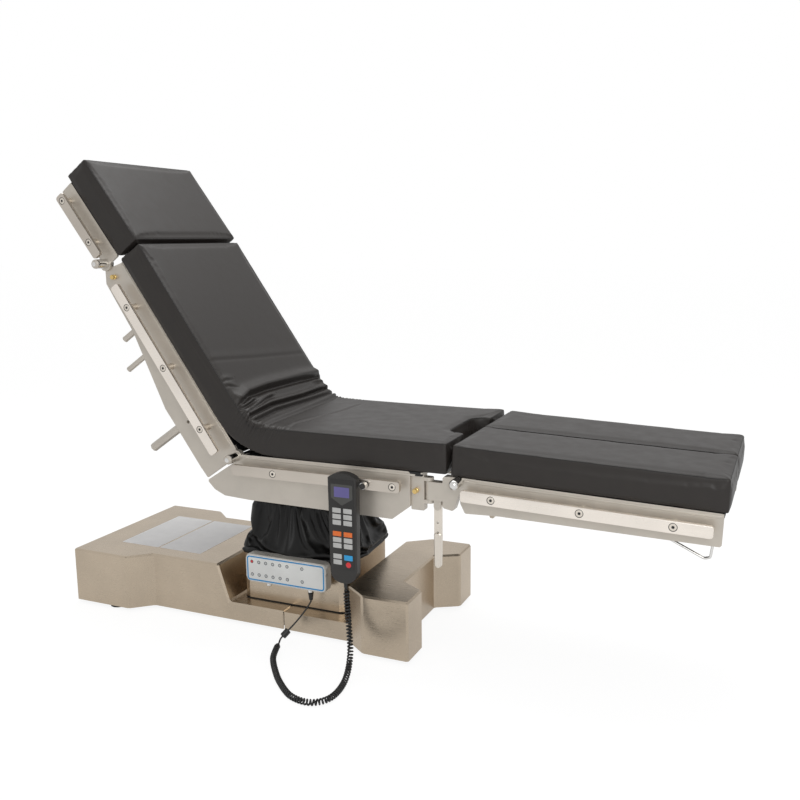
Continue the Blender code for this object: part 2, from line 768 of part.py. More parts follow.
def foot_cover():
    shell = base_prism("foot_cover", FOOT_COVER_START, BASE_HALF_LENGTH, 0, COVER_LOW - OVERRUN, BASE_TOP, True)
    soften(shell, COVER_EDGE, EDGE_STEPS)
    cut(shell, below_cover())
    inside = base_prism("inside", FOOT_COVER_START + COVER_WALL, BASE_HALF_LENGTH - COVER_WALL, COVER_WALL,
                        COVER_LOW - OVERRUN, BASE_TOP - COVER_WALL, True)
    reach = WAIST_HALF - COVER_WALL / 2
    passage = block("passage", (FOOT_COVER_START - OVERRUN, -reach, COVER_LOW - OVERRUN),
                    (FOOT_COVER_START + OVERRUN, reach, RECESS_FLOOR - COVER_WALL))
    cut(shell, inside, passage)
    return finish(shell, "base_foot_cover", TABLE, STEEL)


# Chassis, castors and brake feet
def castor_places():
    places = []
    for end, x in (("head", CASTOR_HEAD_INSET - BASE_HALF_LENGTH), ("foot", BASE_HALF_LENGTH - CASTOR_FOOT_INSET)):
        for side, sign in sides():
            places.append((end + "_" + side, x, sign * CASTOR_Y))
    return places


def brake_places():
    places = []
    head = (BRAKE_HEAD_INSET - BASE_HALF_LENGTH, BRAKE_HEAD_Y)
    foot = (BASE_HALF_LENGTH - BRAKE_FOOT_INSET, BRAKE_FOOT_Y)
    for end, (x, y) in (("head", head), ("foot", foot)):
        for side, sign in sides():
            places.append((end + "_" + side, x, sign * y))
    return places


WHEEL_CENTRE = WHEEL_LIFT + WHEEL_RADIUS
FORK_LOW = WHEEL_CENTRE + WHEEL_RADIUS + FORK_TOP_GAP
FORK_TOP = FORK_LOW + FORK_PLATE
BRIDGE_LOW = FORK_TOP + RUN_GAP
BRIDGE_TOP = BRIDGE_LOW + BRIDGE_THICK


def chassis():
    inset = COVER_WALL + GAP
    body = base_prism("chassis", inset - BASE_HALF_LENGTH, BASE_HALF_LENGTH - inset, inset, CHASSIS_LOW,
                      CHASSIS_TOP, True)
    for name, x, y in castor_places():
        cut(body, rod("well", (x, y, 0), (x, y, CHASSIS_TOP + OVERRUN), CASTOR_WELL))
        outer = CASTOR_WELL + BRIDGE_FOOT
        strap = [(y - outer, CHASSIS_TOP - BRIDGE_FOOT), (y - outer, BRIDGE_TOP), (y + outer, BRIDGE_TOP),
                 (y + outer, CHASSIS_TOP - BRIDGE_FOOT), (y + CASTOR_WELL, CHASSIS_TOP - BRIDGE_FOOT),
                 (y + CASTOR_WELL, BRIDGE_LOW), (y - CASTOR_WELL, BRIDGE_LOW),
                 (y - CASTOR_WELL, CHASSIS_TOP - BRIDGE_FOOT)]
        fuse(body, prism("strap", [strap], x - BRIDGE_LENGTH / 2, x + BRIDGE_LENGTH / 2, "X"))
        cut(body, rod("pin_hole", (x, y, BRIDGE_LOW - RUN_GAP), (x, y, BRIDGE_TOP + OVERRUN),
                      SWIVEL_PIN_RADIUS + RUN_GAP))
    for name, x, y in brake_places():
        fuse(body, rod("guide", (x, y, CHASSIS_TOP - BRIDGE_FOOT), (x, y, BRAKE_GUIDE_TOP), BRAKE_GUIDE_RADIUS))
        cut(body, rod("bore", (x, y, 0), (x, y, BRAKE_GUIDE_TOP + OVERRUN), BRAKE_STEM_RADIUS + RUN_GAP))
    return finish(body, "base_chassis", TABLE, IRON)


def brake_feet():
    profile = [(0, BRAKE_STEM_TOP), (BRAKE_STEM_RADIUS, BRAKE_STEM_TOP), (BRAKE_STEM_RADIUS, BRAKE_PAD_HEIGHT),
               (BRAKE_PAD_RADIUS - BRAKE_PAD_HEIGHT / 3, BRAKE_PAD_HEIGHT),
               (BRAKE_PAD_RADIUS, BRAKE_PAD_HEIGHT * 2 / 3), (BRAKE_PAD_RADIUS, 0), (0, 0)]
    for name, x, y in brake_places():
        holder = frame("brake_slide_" + name, (x, y, 0), TABLE)
        finish(turned("brake", profile, (0, 0, 0)), "brake_foot_" + name, holder, RUBBER)


def castors():
    half = WHEEL_WIDTH / 2
    cheek = half + FORK_SIDE_GAP
    for name, x, y in castor_places():
        swivel = frame("castor_swivel_" + name, (x, y, 0), TABLE)
        hub = frame("castor_axle_" + name, (CASTOR_TRAIL, 0, WHEEL_CENTRE), swivel)
        crown = rod("crown", (0, 0, FORK_LOW), (0, 0, FORK_TOP), FORK_RADIUS + CASTOR_TRAIL / 2, SMALL_SIDES)
        for sign in (-1, 1):
            near, far = sorted((sign * cheek, sign * (cheek + FORK_PLATE)))
            outline = [(-FORK_RADIUS, FORK_TOP), (-FORK_RADIUS, FORK_LOW)]
            outline += arc((CASTOR_TRAIL, WHEEL_CENTRE), FORK_RADIUS, 200, 360, 3)
            outline += [(CASTOR_TRAIL + FORK_RADIUS, FORK_TOP)]
            fuse(crown, prism("cheek", [outline], near, far, "Y"))
        fuse(crown, rod("pin", (0, 0, FORK_TOP - FORK_PLATE / 2), (0, 0, BRIDGE_TOP + SWIVEL_HEAD),
                        SWIVEL_PIN_RADIUS, SMALL_SIDES))
        fuse(crown, rod("pin_head", (0, 0, BRIDGE_TOP + RUN_GAP), (0, 0, BRIDGE_TOP + SWIVEL_HEAD),
                        SWIVEL_HEAD_RADIUS, SMALL_SIDES))
        cut(crown, rod("axle_hole", (CASTOR_TRAIL, -FORK_RADIUS * 2, WHEEL_CENTRE),
                       (CASTOR_TRAIL, FORK_RADIUS * 2, WHEEL_CENTRE), AXLE_RADIUS + RUN_GAP, SMALL_SIDES))
        finish(crown, "castor_fork_" + name, swivel, CHROME)
        axle = cheek + FORK_PLATE
        tread = WHEEL_RADIUS - WHEEL_TREAD
        profile = [(0, axle), (AXLE_RADIUS, axle), (AXLE_RADIUS, half), (tread, half), (WHEEL_RADIUS, half - WHEEL_TREAD),
                   (WHEEL_RADIUS, WHEEL_TREAD - half), (tread, -half), (AXLE_RADIUS, -half), (AXLE_RADIUS, -axle),
                   (0, -axle)]
        finish(turned("wheel", profile, (0, 0, 0), (math.pi / 2, 0)), "castor_wheel_" + name, hub, RUBBER)


def base_contents():
    floor = CHASSIS_TOP + GAP
    start = INNER_START_INSET - BASE_HALF_LENGTH
    end = RECESS_TOP_X - INNER_END_ROOM
    battery = block("battery", (start, BATTERY_Y, floor),
                    (start + (end - start) * BATTERY_SHARE, BATTERY_Y + BATTERY_WIDTH, floor + BATTERY_HEIGHT),
                    INNER_EDGE)
    finish(battery, "battery_pack", TABLE, PLASTIC)
    tank_top = floor + PUMP_HEIGHT
    pump_start = end - (end - start) * PUMP_SHARE
    pump = block("pump", (pump_start, -PUMP_HALF_WIDTH, floor), (end, PUMP_HALF_WIDTH, tank_top), INNER_EDGE)
    fuse(pump, rod("motor", (pump_start + INNER_EDGE, 0, tank_top), (end - INNER_EDGE, 0, tank_top), MOTOR_RADIUS))
    finish(pump, "pump_unit", TABLE, IRON)


# Column stages, cover and bellows
def stage(name, half_x, half_y, low, high, wall, corner):
    outer = rectangle(half_x, half_y, corner)
    inner = rectangle(half_x - wall, half_y - wall, max(corner - wall / 2, wall / 2))
    return prism(name, [outer, inner], low, high)


def column():
    low = CHASSIS_TOP + GAP
    outer = stage("outer_stage", STAGE_HALF_X, STAGE_HALF_Y, low, OUTER_STAGE_TOP, STAGE_WALL, STAGE_CORNER)
    lip = STAGE_FLANGE_LIP
    flange = [rectangle(STAGE_HALF_X + lip, STAGE_HALF_Y + lip, STAGE_CORNER),
              rectangle(STAGE_HALF_X - STAGE_WALL / 2, STAGE_HALF_Y - STAGE_WALL / 2, STAGE_CORNER)]
    fuse(outer, prism("flange", flange, low, low + STAGE_FLANGE))
    finish(outer, "column_outer_stage", COLUMN_BASE, STEEL)
    shrink = STAGE_WALL + STAGE_GAP
    low = low + STAGE_FOOT_GAP
    middle = stage("middle_stage", STAGE_HALF_X - shrink, STAGE_HALF_Y - shrink, low, MIDDLE_STAGE_TOP, STAGE_WALL,
                   STAGE_CORNER - STAGE_WALL / 2)
    finish(middle, "column_middle_stage", LIFT_MIDDLE, STEEL)
    shrink = shrink * 2
    low = low + STAGE_FOOT_GAP
    head_top = HEAD_PLATE_LOW + HEAD_PLATE_THICK
    inner = stage("inner_stage", STAGE_HALF_X - shrink, STAGE_HALF_Y - shrink, low, HEAD_PLATE_LOW + STAGE_WALL / 2,
                  STAGE_WALL, STAGE_CORNER - STAGE_WALL / 2)
    fuse(inner, prism("head_plate", [rectangle(HEAD_PLATE_HALF_X, HEAD_PLATE_HALF_Y, STAGE_CORNER)], HEAD_PLATE_LOW,
                      head_top))
    for sign in (-1, 1):
        near, far = sorted((sign * EAR_INNER, sign * (EAR_INNER + EAR_THICK)))
        outline = [(-EAR_HALF_LENGTH, head_top - STAGE_WALL / 2), (EAR_HALF_LENGTH, head_top - STAGE_WALL / 2)]
        outline += arc((0, TILT_AXIS_Z), EAR_RADIUS, 0, 180, 6)
        fuse(inner, prism("ear", [outline], near, far, "Y"))
    cut(inner, rod("bore", (0, -EAR_INNER * 2, TILT_AXIS_Z), (0, EAR_INNER * 2, TILT_AXIS_Z),
                   TRUNNION_RADIUS + RUN_GAP, FINE_SIDES))
    finish(inner, "column_head", LIFT, STEEL)
    side = EAR_INNER + EAR_THICK - TRUNNION_END_GAP
    end = CROSS_HALF_X + HANGER_THICK - TRUNNION_END_GAP
    cross = block("cross", (-CROSS_HALF_X, GAP - EAR_INNER, -CROSS_HALF_Z), (CROSS_HALF_X, EAR_INNER - GAP, CROSS_HALF_Z),
                  INNER_EDGE)
    fuse(cross, rod("side_trunnion", (0, -side, 0), (0, side, 0), TRUNNION_RADIUS, FINE_SIDES))
    fuse(cross, rod("end_trunnion", (-end, 0, 0), (end, 0, 0), TRUNNION_RADIUS, FINE_SIDES))
    finish(cross, "tilt_cross", TREND, IRON)
    cover = stage("cover", SLEEVE_HALF_X, SLEEVE_HALF_Y, RECESS_FLOOR + GAP, SLEEVE_TOP, SLEEVE_WALL, SLEEVE_CORNER)
    finish(cover, "column_cover", COLUMN_BASE, STEEL)


# Shares of the height and of the swell at each ring of the bellows, hem first
BELLOWS_RING_SHARES = ((0.0, 0.0), (0.08, 0.35), (0.20, 1.0), (0.34, 0.45), (0.46, 0.95), (0.60, 0.30), (0.72, 0.80),
                       (0.86, 0.20), (1.0, 0.0))
BELLOWS_CORNER_STEPS = 4
BELLOWS_WAVES = 5


def bellows():
    """A draped cover whose folds sag round the column, wider at the hem than at the top."""
    form = bmesh.new()
    rings = []
    hem_x = SLEEVE_HALF_X + BELLOWS_HEM_GAP
    hem_y = SLEEVE_HALF_Y + BELLOWS_HEM_GAP
    top_x = HEAD_PLATE_HALF_X + BELLOWS_TOP_LIP
    top_y = HEAD_PLATE_HALF_Y + BELLOWS_TOP_LIP
    for height_share, swell_share in BELLOWS_RING_SHARES:
        drawn = height_share ** 2
        half_x = hem_x + (top_x - hem_x) * drawn
        half_y = hem_y + (top_y - hem_y) * drawn
        z = BELLOWS_LOW + (BELLOWS_TOP - BELLOWS_LOW) * height_share
        outline = rectangle(half_x, half_y, SLEEVE_CORNER * 1.5, steps=BELLOWS_CORNER_STEPS)
        ring = []
        for x, y in outline:
            turn = math.atan2(y, x)
            wave = 0.6 + 0.4 * math.sin(BELLOWS_WAVES * turn + math.tau * height_share)
            swell = 1 + BELLOWS_SWELL * swell_share * wave / half_y
            sag = BELLOWS_SWELL * swell_share * math.sin(BELLOWS_WAVES * turn + 1) * 0.5
            ring.append(form.verts.new((x * swell, y * swell, z - sag)))
        rings.append(ring)
    for lower, upper in zip(rings, rings[1:]):
        for index in range(len(lower)):
            after = (index + 1) % len(lower)
            form.faces.new((lower[index], lower[after], upper[after], upper[index]))
    cover = from_bmesh("bellows", form)
    shell = cover.modifiers.new("shell", "SOLIDIFY")
    shell.thickness = BELLOWS_WALL
    shell.offset = 1
    bake(cover)
    return finish(cover, "bellows", COLUMN_BASE, CLOTH_BLACK)


# Plates, rails and pads shared by the sections of the top
def seen_from_side(name, outline, near, far, holes=()):
    return prism(name, [outline, *holes], near, far, "Y")


def circle(centre, radius, steps=ROUND_SIDES):
    return arc(centre, radius, 0, 360, steps)[:-1]


def lug(name, centre, radius, near, far):
    u, v = centre
    return rod(name, (u, near + GAP / 2, v), (u, far - GAP / 2, v), radius)


def side_rail(name, start, end, z, plate_out, bolts, sign):
    """An accessory rail on its spacers, with bolt heads on its outer face."""
    inner = RAIL_OUT - RAIL_THICK
    near, far = sorted((sign * inner, sign * RAIL_OUT))
    half = RAIL_HEIGHT / 2
    low_x, high_x = sorted((start, end))
    rail = block(name, (low_x, near, z - half), (high_x, far, z + half), RAIL_EDGE)
    for share in bolts:
        x = start + (end - start) * share
        seat = sign * (plate_out + GAP)
        fuse(rail, rod("spacer", (x, seat, z), (x, sign * (inner + RAIL_THICK / 2), z), SPACER_RADIUS, HEX_SIDES))
        fuse(rail, rod("bolt", (x, sign * (RAIL_OUT - RAIL_THICK / 2), z), (x, sign * (RAIL_OUT + BOLT_PROUD), z),
                       BOLT_RADIUS, HEX_SIDES))
    return rail


def cushion(name, start, end, near, far, low, lean=0):
    """A firm cushion: crowned top, drawn-in sides and soft edges, with its first end leaning if asked."""
    high = low + PAD_THICK
    edge, soft = PAD_EDGE, PAD_EDGE * SOFT_SHARE
    way = 1 if end > start else -1
    length = abs(end - start)
    run = PAD_CROWN_RUN
    stations = [(0, edge, 0), (soft, soft, 0), (edge, 0, 0), (run, 0, 1), (length / 2, 0, 1), (length - run, 0, 1),
                (length - edge, 0, 0), (length - soft, soft, 0), (length, edge, 0)]
    form = bmesh.new()
    rings = []
    for along, inset, crown in stations:
        share = along / length
        drawn = PAD_WAIST * 4 * share * (1 - share) + inset
        left, right = near + drawn, far - drawn
        bottom, top = low + inset, high - inset
        shoulder = top - PAD_CROWN * (1 if inset == 0 else 0)
        ridge = shoulder + (top - shoulder) * crown
        half = [(left, bottom + edge), (left, shoulder - edge), (left + soft, shoulder - soft), (left + edge, shoulder),
                (left + run, ridge), (right - run, ridge), (right - edge, shoulder),
                (right - soft, shoulder - soft), (right, shoulder - edge), (right, bottom + edge),
                (right - soft, bottom + soft), (right - edge, bottom), (left + edge, bottom),
                (left + soft, bottom + soft)]
        ring = []
        for y, z in half:
            slant = way * lean * (z - low) / PAD_THICK * (1 - share)
            ring.append(form.verts.new((start + way * along + slant, y, z)))
        rings.append(ring)
    count = len(rings[0])
    for first, second in zip(rings, rings[1:]):
        for index in range(count):
            after = (index + 1) % count
            form.faces.new((first[index], first[after], second[after], second[index]))
    form.faces.new(rings[0])
    form.faces.new(rings[-1])
    return from_bmesh(name, form)


def pivot_pin(sign, cap_start):
    """A hinge pin with a domed cap outside the plates."""
    start = sign * (INNER_PLATE_IN + GAP)
    pin = rod("pin", (0, start, 0), (0, sign * (PIVOT_CAP_OUT - PIVOT_CAP_RADIUS), 0), PIVOT_PIN_RADIUS)
    dome = PIVOT_CAP_OUT - PIVOT_CAP_RADIUS / 2
    profile = [(0, PIVOT_CAP_OUT)]
    profile += [(PIVOT_CAP_RADIUS * math.sin(turn), dome + PIVOT_CAP_RADIUS / 2 * math.cos(turn))
                for turn in (math.pi / 4, math.pi / 2)]
    profile += [(PIVOT_CAP_RADIUS, cap_start), (0, cap_start)]
    cap = turned("cap", profile, (0, 0, 0), (-sign * math.pi / 2, 0))
    return fuse(pin, cap)


# Seat section, in places measured from the back pivot
TILT_X = COLUMN_X - PIVOT_X
TILT_Z = TILT_AXIS_Z - PIVOT_Z
LEG_X = LEG_PIVOT_X - PIVOT_X
LEG_Z = LEG_PIVOT_Z - PIVOT_Z


def seat_frame():
    plate = [(u * SEAT_PLATE_LENGTH, v * SEAT_PLATE_DEPTH) for u, v in SEAT_PLATE_SHARES]
    plate += [(SEAT_PLATE_LENGTH, DECK_TOP), (LUG_RADIUS, DECK_TOP)]
    outline = rounded(plate, PLATE_CORNER, EDGE_STEPS)
    deck_low = DECK_TOP - DECK_THICK
    bracket_start = BRACKET_START - PIVOT_X
    bracket_end = BRACKET_END - PIVOT_X
    reach = OUTER_PLATE_OUT - GAP
    body = block("deck", (SEAT_DECK_START, -reach, deck_low), (bracket_end - GAP, reach, DECK_TOP - GAP))
    for sign in (-1, 1):
        near, far = sorted((sign * OUTER_PLATE_IN, sign * OUTER_PLATE_OUT))
        fuse(body, seen_from_side("plate", outline, near, far), lug("lug", (0, 0), LUG_RADIUS, near, far))
    hanger_low = TILT_Z - LUG_RADIUS
    for way in (-1, 1):
        near, far = sorted((way * CROSS_HALF_X + way * GAP, way * (CROSS_HALF_X + HANGER_THICK)))
        fuse(body, block("hanger", (TILT_X + near, -OUTER_PLATE_IN - OVERRUN / 8, hanger_low),
                         (TILT_X + far, OUTER_PLATE_IN + OVERRUN / 8, DECK_TOP - DECK_THICK / 2)))
    reach = CROSS_HALF_X + HANGER_THICK + OVERRUN
    cut(body, rod("trunnion_bore", (TILT_X - reach, 0, TILT_Z), (TILT_X + reach, 0, TILT_Z),
                  TRUNNION_RADIUS + RUN_GAP, FINE_SIDES))
    hinge_top = BRACKET_TOP - PIVOT_Z
    hinge_low = BRACKET_LOW - PIVOT_Z
    for sign in (-1, 1):
        near, far = sorted((sign * (LEG_TONGUE_IN), sign * LEG_TONGUE_OUT))
        fuse(body, block("bracket", (bracket_start, near, hinge_low), (bracket_end, far, DECK_TOP - DECK_THICK / 2),
                         PLATE_CORNER / 4))
        fuse(body, block("web", (SEAT_PLATE_LENGTH - OVERRUN, near, hinge_low + EAR_PLATE),
                         (bracket_start + EAR_PLATE, far, DECK_TOP - DECK_THICK / 2)))
        skin = [(SEAT_PLATE_LENGTH - OVERRUN, sign * LEG_TONGUE_IN), (SEAT_PLATE_LENGTH, sign * OUTER_PLATE_OUT)]
        near, far = sorted((skin[0][1], skin[1][1]))
        fuse(body, block("link", (skin[0][0], near, hinge_low + EAR_PLATE), (skin[1][0] - EAR_PLATE / 4, far, hinge_top)))
        middle = sign * (LEG_TONGUE_IN + LEG_TONGUE_OUT) / 2
        pin_x = SPREAD_PIN_X - PIVOT_X
        for low in (CLEVIS_TOP + RUN_GAP - PIVOT_Z, CLEVIS_LOW - RUN_GAP - EAR_PLATE - PIVOT_Z):
            ear = rod("ear", (pin_x, middle, low), (pin_x, middle, low + EAR_PLATE), CLEVIS_KNUCKLE_RADIUS)
            arm = block("arm", (bracket_end - EAR_PLATE, middle - CLEVIS_KNUCKLE_RADIUS, low),
                        (pin_x, middle + CLEVIS_KNUCKLE_RADIUS, low + EAR_PLATE))
            fuse(body, fuse(arm, ear))
        pin_low = CLEVIS_LOW - RUN_GAP - EAR_PLATE / 2 - PIVOT_Z
        pin_high = CLEVIS_TOP + RUN_GAP + EAR_PLATE / 2 - PIVOT_Z
        fuse(body, rod("spread_pin", (pin_x, middle, pin_low), (pin_x, middle, pin_high), SPREAD_PIN_RADIUS))
        plunger_x = LEG_PLUNGER_X - PIVOT_X
        plunger_z = LEG_PLUNGER_Z - PIVOT_Z
        start = sign * (LEG_TONGUE_IN + EAR_PLATE)
        cut(body, rod("plunger_bore", (plunger_x, start, plunger_z), (plunger_x, sign * PAD_HALF, plunger_z),
                      PLUNGER_RADIUS + RUN_GAP, SMALL_SIDES))
    for sign in (-1, 1):
        start = sign * (OUTER_PLATE_IN - OVERRUN / 4)
        cut(body, rod("pin_hole", (0, start, 0), (0, sign * PAD_HALF, 0), PIVOT_PIN_RADIUS + RUN_GAP))
    finish(body, "seat_frame", SEAT, PAINT)
    for side, sign in sides():
        rail = side_rail("rail", SEAT_RAIL_START, SEAT_RAIL_END, SEAT_RAIL_Z, OUTER_PLATE_OUT, SEAT_BOLT_SHARES, sign)
        finish(rail, "seat_rail_" + side, SEAT, STEEL)


def seat_pad():
    low = DECK_TOP + PAD_LIFT
    high = low + PAD_THICK
    body = cushion("seat_pad", SEAT_PAD_START, SEAT_PAD_END, -PAD_HALF, PAD_HALF, low, SEAT_PAD_LEAN)
    floor = SEAT_PAD_END - CUT_OUT_DEPTH
    mouth = SEAT_PAD_END + CUT_OUT_CORNER
    bay = rounded([(floor, -CUT_OUT_HALF), (mouth, -CUT_OUT_HALF), (mouth, CUT_OUT_HALF), (floor, CUT_OUT_HALF)],
                  CUT_OUT_CORNER, BAY_STEPS)
    cut(body, prism("bay", [bay], low - OVERRUN, high + OVERRUN))
    finish(body, "seat_pad", SEAT, PAD_BLACK)


# Back section: x runs from the pivot towards the head as a negative number
def back_frame():
    plate = [(-u * BACK_PLATE_LENGTH, v * BACK_PLATE_DEPTH) for u, v in BACK_PLATE_SHARES]
    plate += [(-BACK_PLATE_LENGTH, DECK_TOP), (-LUG_RADIUS, DECK_TOP)]
    outline = rounded(plate, PLATE_CORNER, EDGE_STEPS)
    deck_low = DECK_TOP - DECK_THICK
    reach = INNER_PLATE_OUT - GAP
    body = block("deck", (GAP - BACK_PLATE_LENGTH, -reach, deck_low), (-BACK_DECK_START, reach, DECK_TOP - GAP))
    hole_place = (-BACK_HOLE_SHARES[0] * BACK_PLATE_LENGTH, BACK_HOLE_SHARES[1] * BACK_PLATE_DEPTH)
    hole = circle(hole_place, BACK_HOLE_RADIUS, SMALL_SIDES)
    for sign in (-1, 1):
        near, far = sorted((sign * INNER_PLATE_IN, sign * INNER_PLATE_OUT))
        fuse(body, seen_from_side("plate", outline, near, far, [hole]), lug("lug", (0, 0), LUG_RADIUS, near, far),
             lug("head_lug", (-HEAD_PIVOT_S, HEAD_PIVOT_N), LUG_RADIUS, near, far))
        for share, (first, last, radius, y) in zip(POST_SHARES, POST_SIZES):
            x = -share * BACK_PLATE_LENGTH
            fuse(body, rod("post", (x, sign * y, -first), (x, sign * y, -last), radius, SMALL_SIDES))
    for u, v in BACK_TUBE_SHARES:
        x, z = -u * BACK_PLATE_LENGTH, v * BACK_PLATE_DEPTH
        fuse(body, rod("cross_tube", (x, -INNER_PLATE_IN - GAP, z), (x, INNER_PLATE_IN + GAP, z), CROSS_TUBE_RADIUS,
                       SMALL_SIDES))
    for sign in (-1, 1):
        fuse(body, pivot_pin(sign, OUTER_PLATE_OUT + RUN_GAP))
        start = sign * (INNER_PLATE_IN - OVERRUN / 4)
        end = sign * PAD_HALF
        cut(body, rod("head_pin_hole", (-HEAD_PIVOT_S, start, HEAD_PIVOT_N), (-HEAD_PIVOT_S, end, HEAD_PIVOT_N),
                      PIVOT_PIN_RADIUS + RUN_GAP))
        cut(body, rod("plunger_bore", (-HEAD_PLUNGER_S, start, HEAD_PLUNGER_N), (-HEAD_PLUNGER_S, end, HEAD_PLUNGER_N),
                      PLUNGER_RADIUS + RUN_GAP, SMALL_SIDES))
    finish(body, "back_frame", BACK, PAINT)
    for side, sign in sides():
        rail = side_rail("rail", -BACK_RAIL_START, -BACK_RAIL_END, BACK_RAIL_N, INNER_PLATE_OUT, BACK_BOLT_SHARES, sign)
        finish(rail, "back_rail_" + side, BACK, STEEL)


def back_pad():
    body = cushion("back_pad", -BACK_PAD_START, -BACK_PAD_END, -PAD_HALF, PAD_HALF, DECK_TOP + PAD_LIFT, BACK_PAD_LEAN)
    finish(body, "back_pad", BACK, PAD_BLACK)


# Head section
def head_section():
    top = DECK_TOP - HEAD_PIVOT_N
    end = -HEAD_PLATE_LENGTH
    plate = [(HEAD_LOBE_RADIUS / 2, -LUG_RADIUS / 3), (HEAD_LOBE_RADIUS / 2, top), (end, top), (end, LUG_RADIUS / 2),
             (-HEAD_LOBE_RADIUS, -LUG_RADIUS / 3)]
    outline = rounded(plate, PLATE_CORNER, EDGE_STEPS)
    reach = OUTER_PLATE_OUT - GAP
    body = block("deck", (end + GAP, -reach, top - DECK_THICK), (-HEAD_LOBE_RADIUS, reach, top - GAP))
    for sign in (-1, 1):
        near, far = sorted((sign * OUTER_PLATE_IN, sign * OUTER_PLATE_OUT))
        fuse(body, seen_from_side("plate", outline, near, far), lug("lobe", (0, 0), HEAD_LOBE_RADIUS, near, far))
    tube_x = end + CROSS_TUBE_RADIUS * 2
    tube_z = top - CROSS_TUBE_RADIUS
    fuse(body, rod("cross_tube", (tube_x, -OUTER_PLATE_IN - GAP, tube_z), (tube_x, OUTER_PLATE_IN + GAP, tube_z),
                   CROSS_TUBE_RADIUS, SMALL_SIDES))
    for sign in (-1, 1):
        fuse(body, pivot_pin(sign, OUTER_PLATE_OUT - GAP))
    finish(body, "head_frame", HEAD, PAINT)
    for side, sign in sides():
        rail = side_rail("rail", -HEAD_RAIL_START, -HEAD_RAIL_END, HEAD_RAIL_N, OUTER_PLATE_OUT, HEAD_BOLT_SHARES, sign)
        finish(rail, "head_rail_" + side, HEAD, STEEL)
    pad = cushion("head_pad", -HEAD_PAD_START, -HEAD_PAD_END, -PAD_HALF, PAD_HALF, top + PAD_LIFT)
    finish(pad, "head_pad", HEAD, PAD_BLACK)


def plunger(name, x, z, plate_out, sign, parent):
    """A sprung locking pin with a knob, sliding across the table."""
    holder = frame(name + "_slide", (x, 0, z), parent)
    inner = sign * (plate_out - PLUNGER_REACH)
    outer = plate_out + PLUNGER_TRAVEL / 2
    pin = rod("pin", (0, inner, 0), (0, sign * (outer + PLUNGER_COLLAR), 0), PLUNGER_RADIUS, SMALL_SIDES)
    knob = rod("knob", (0, sign * (plate_out + GAP), 0), (0, sign * (plate_out + GAP + PLUNGER_COLLAR + PLUNGER_KNOB), 0),
               PLUNGER_KNOB_RADIUS, SMALL_SIDES)
    soften(knob, PLUNGER_COLLAR / 4)
    return finish(fuse(pin, knob), name, holder, BRASS)


# Leg sections
def leg_lever(side, holder):
    """A flat release lever that hangs from the clevis, with a thicker grip at its end."""
    half = LEVER_THICK / 2
    length = LEVER_Z - LEVER_END_Z
    waist = LEVER_Z - LEVER_WAIST_Z
    top, end = LEVER_TOP_WIDTH / 2, LEVER_END_WIDTH / 2
    blade = [(-top, 0), (-top, -waist), (top, -waist), (top, 0)]
    body = prism("blade", [blade], -half, half, "Y")
    fuse(body, rod("boss", (0, -half, 0), (0, half, 0), LEVER_TOP_WIDTH / 2))
    grip = [(-top, -waist * 0.9), (-end, -length), (end, -length), (top, -waist * 0.9)]
    grip_half = half + LEVER_CHEEK
    handle = prism("grip", [rounded(grip, PLATE_CORNER, EDGE_STEPS)], -grip_half, grip_half, "Y")
    soften(handle, LEVER_CHEEK / 2)
    fuse(body, handle)
    cut(body, rod("pin_hole", (0, -half * 2, 0), (0, half * 2, 0), LEVER_PIN_RADIUS + RUN_GAP, SMALL_SIDES))
    for share in LEVER_HOLE_SHARES:
        place = -share * length
        cut(body, rod("small_hole", (0, -half * 2, place), (0, half * 2, place), LEVER_HOLE_RADIUS, SMALL_SIDES))
    return finish(body, "leg_lever_" + side, holder, STEEL)


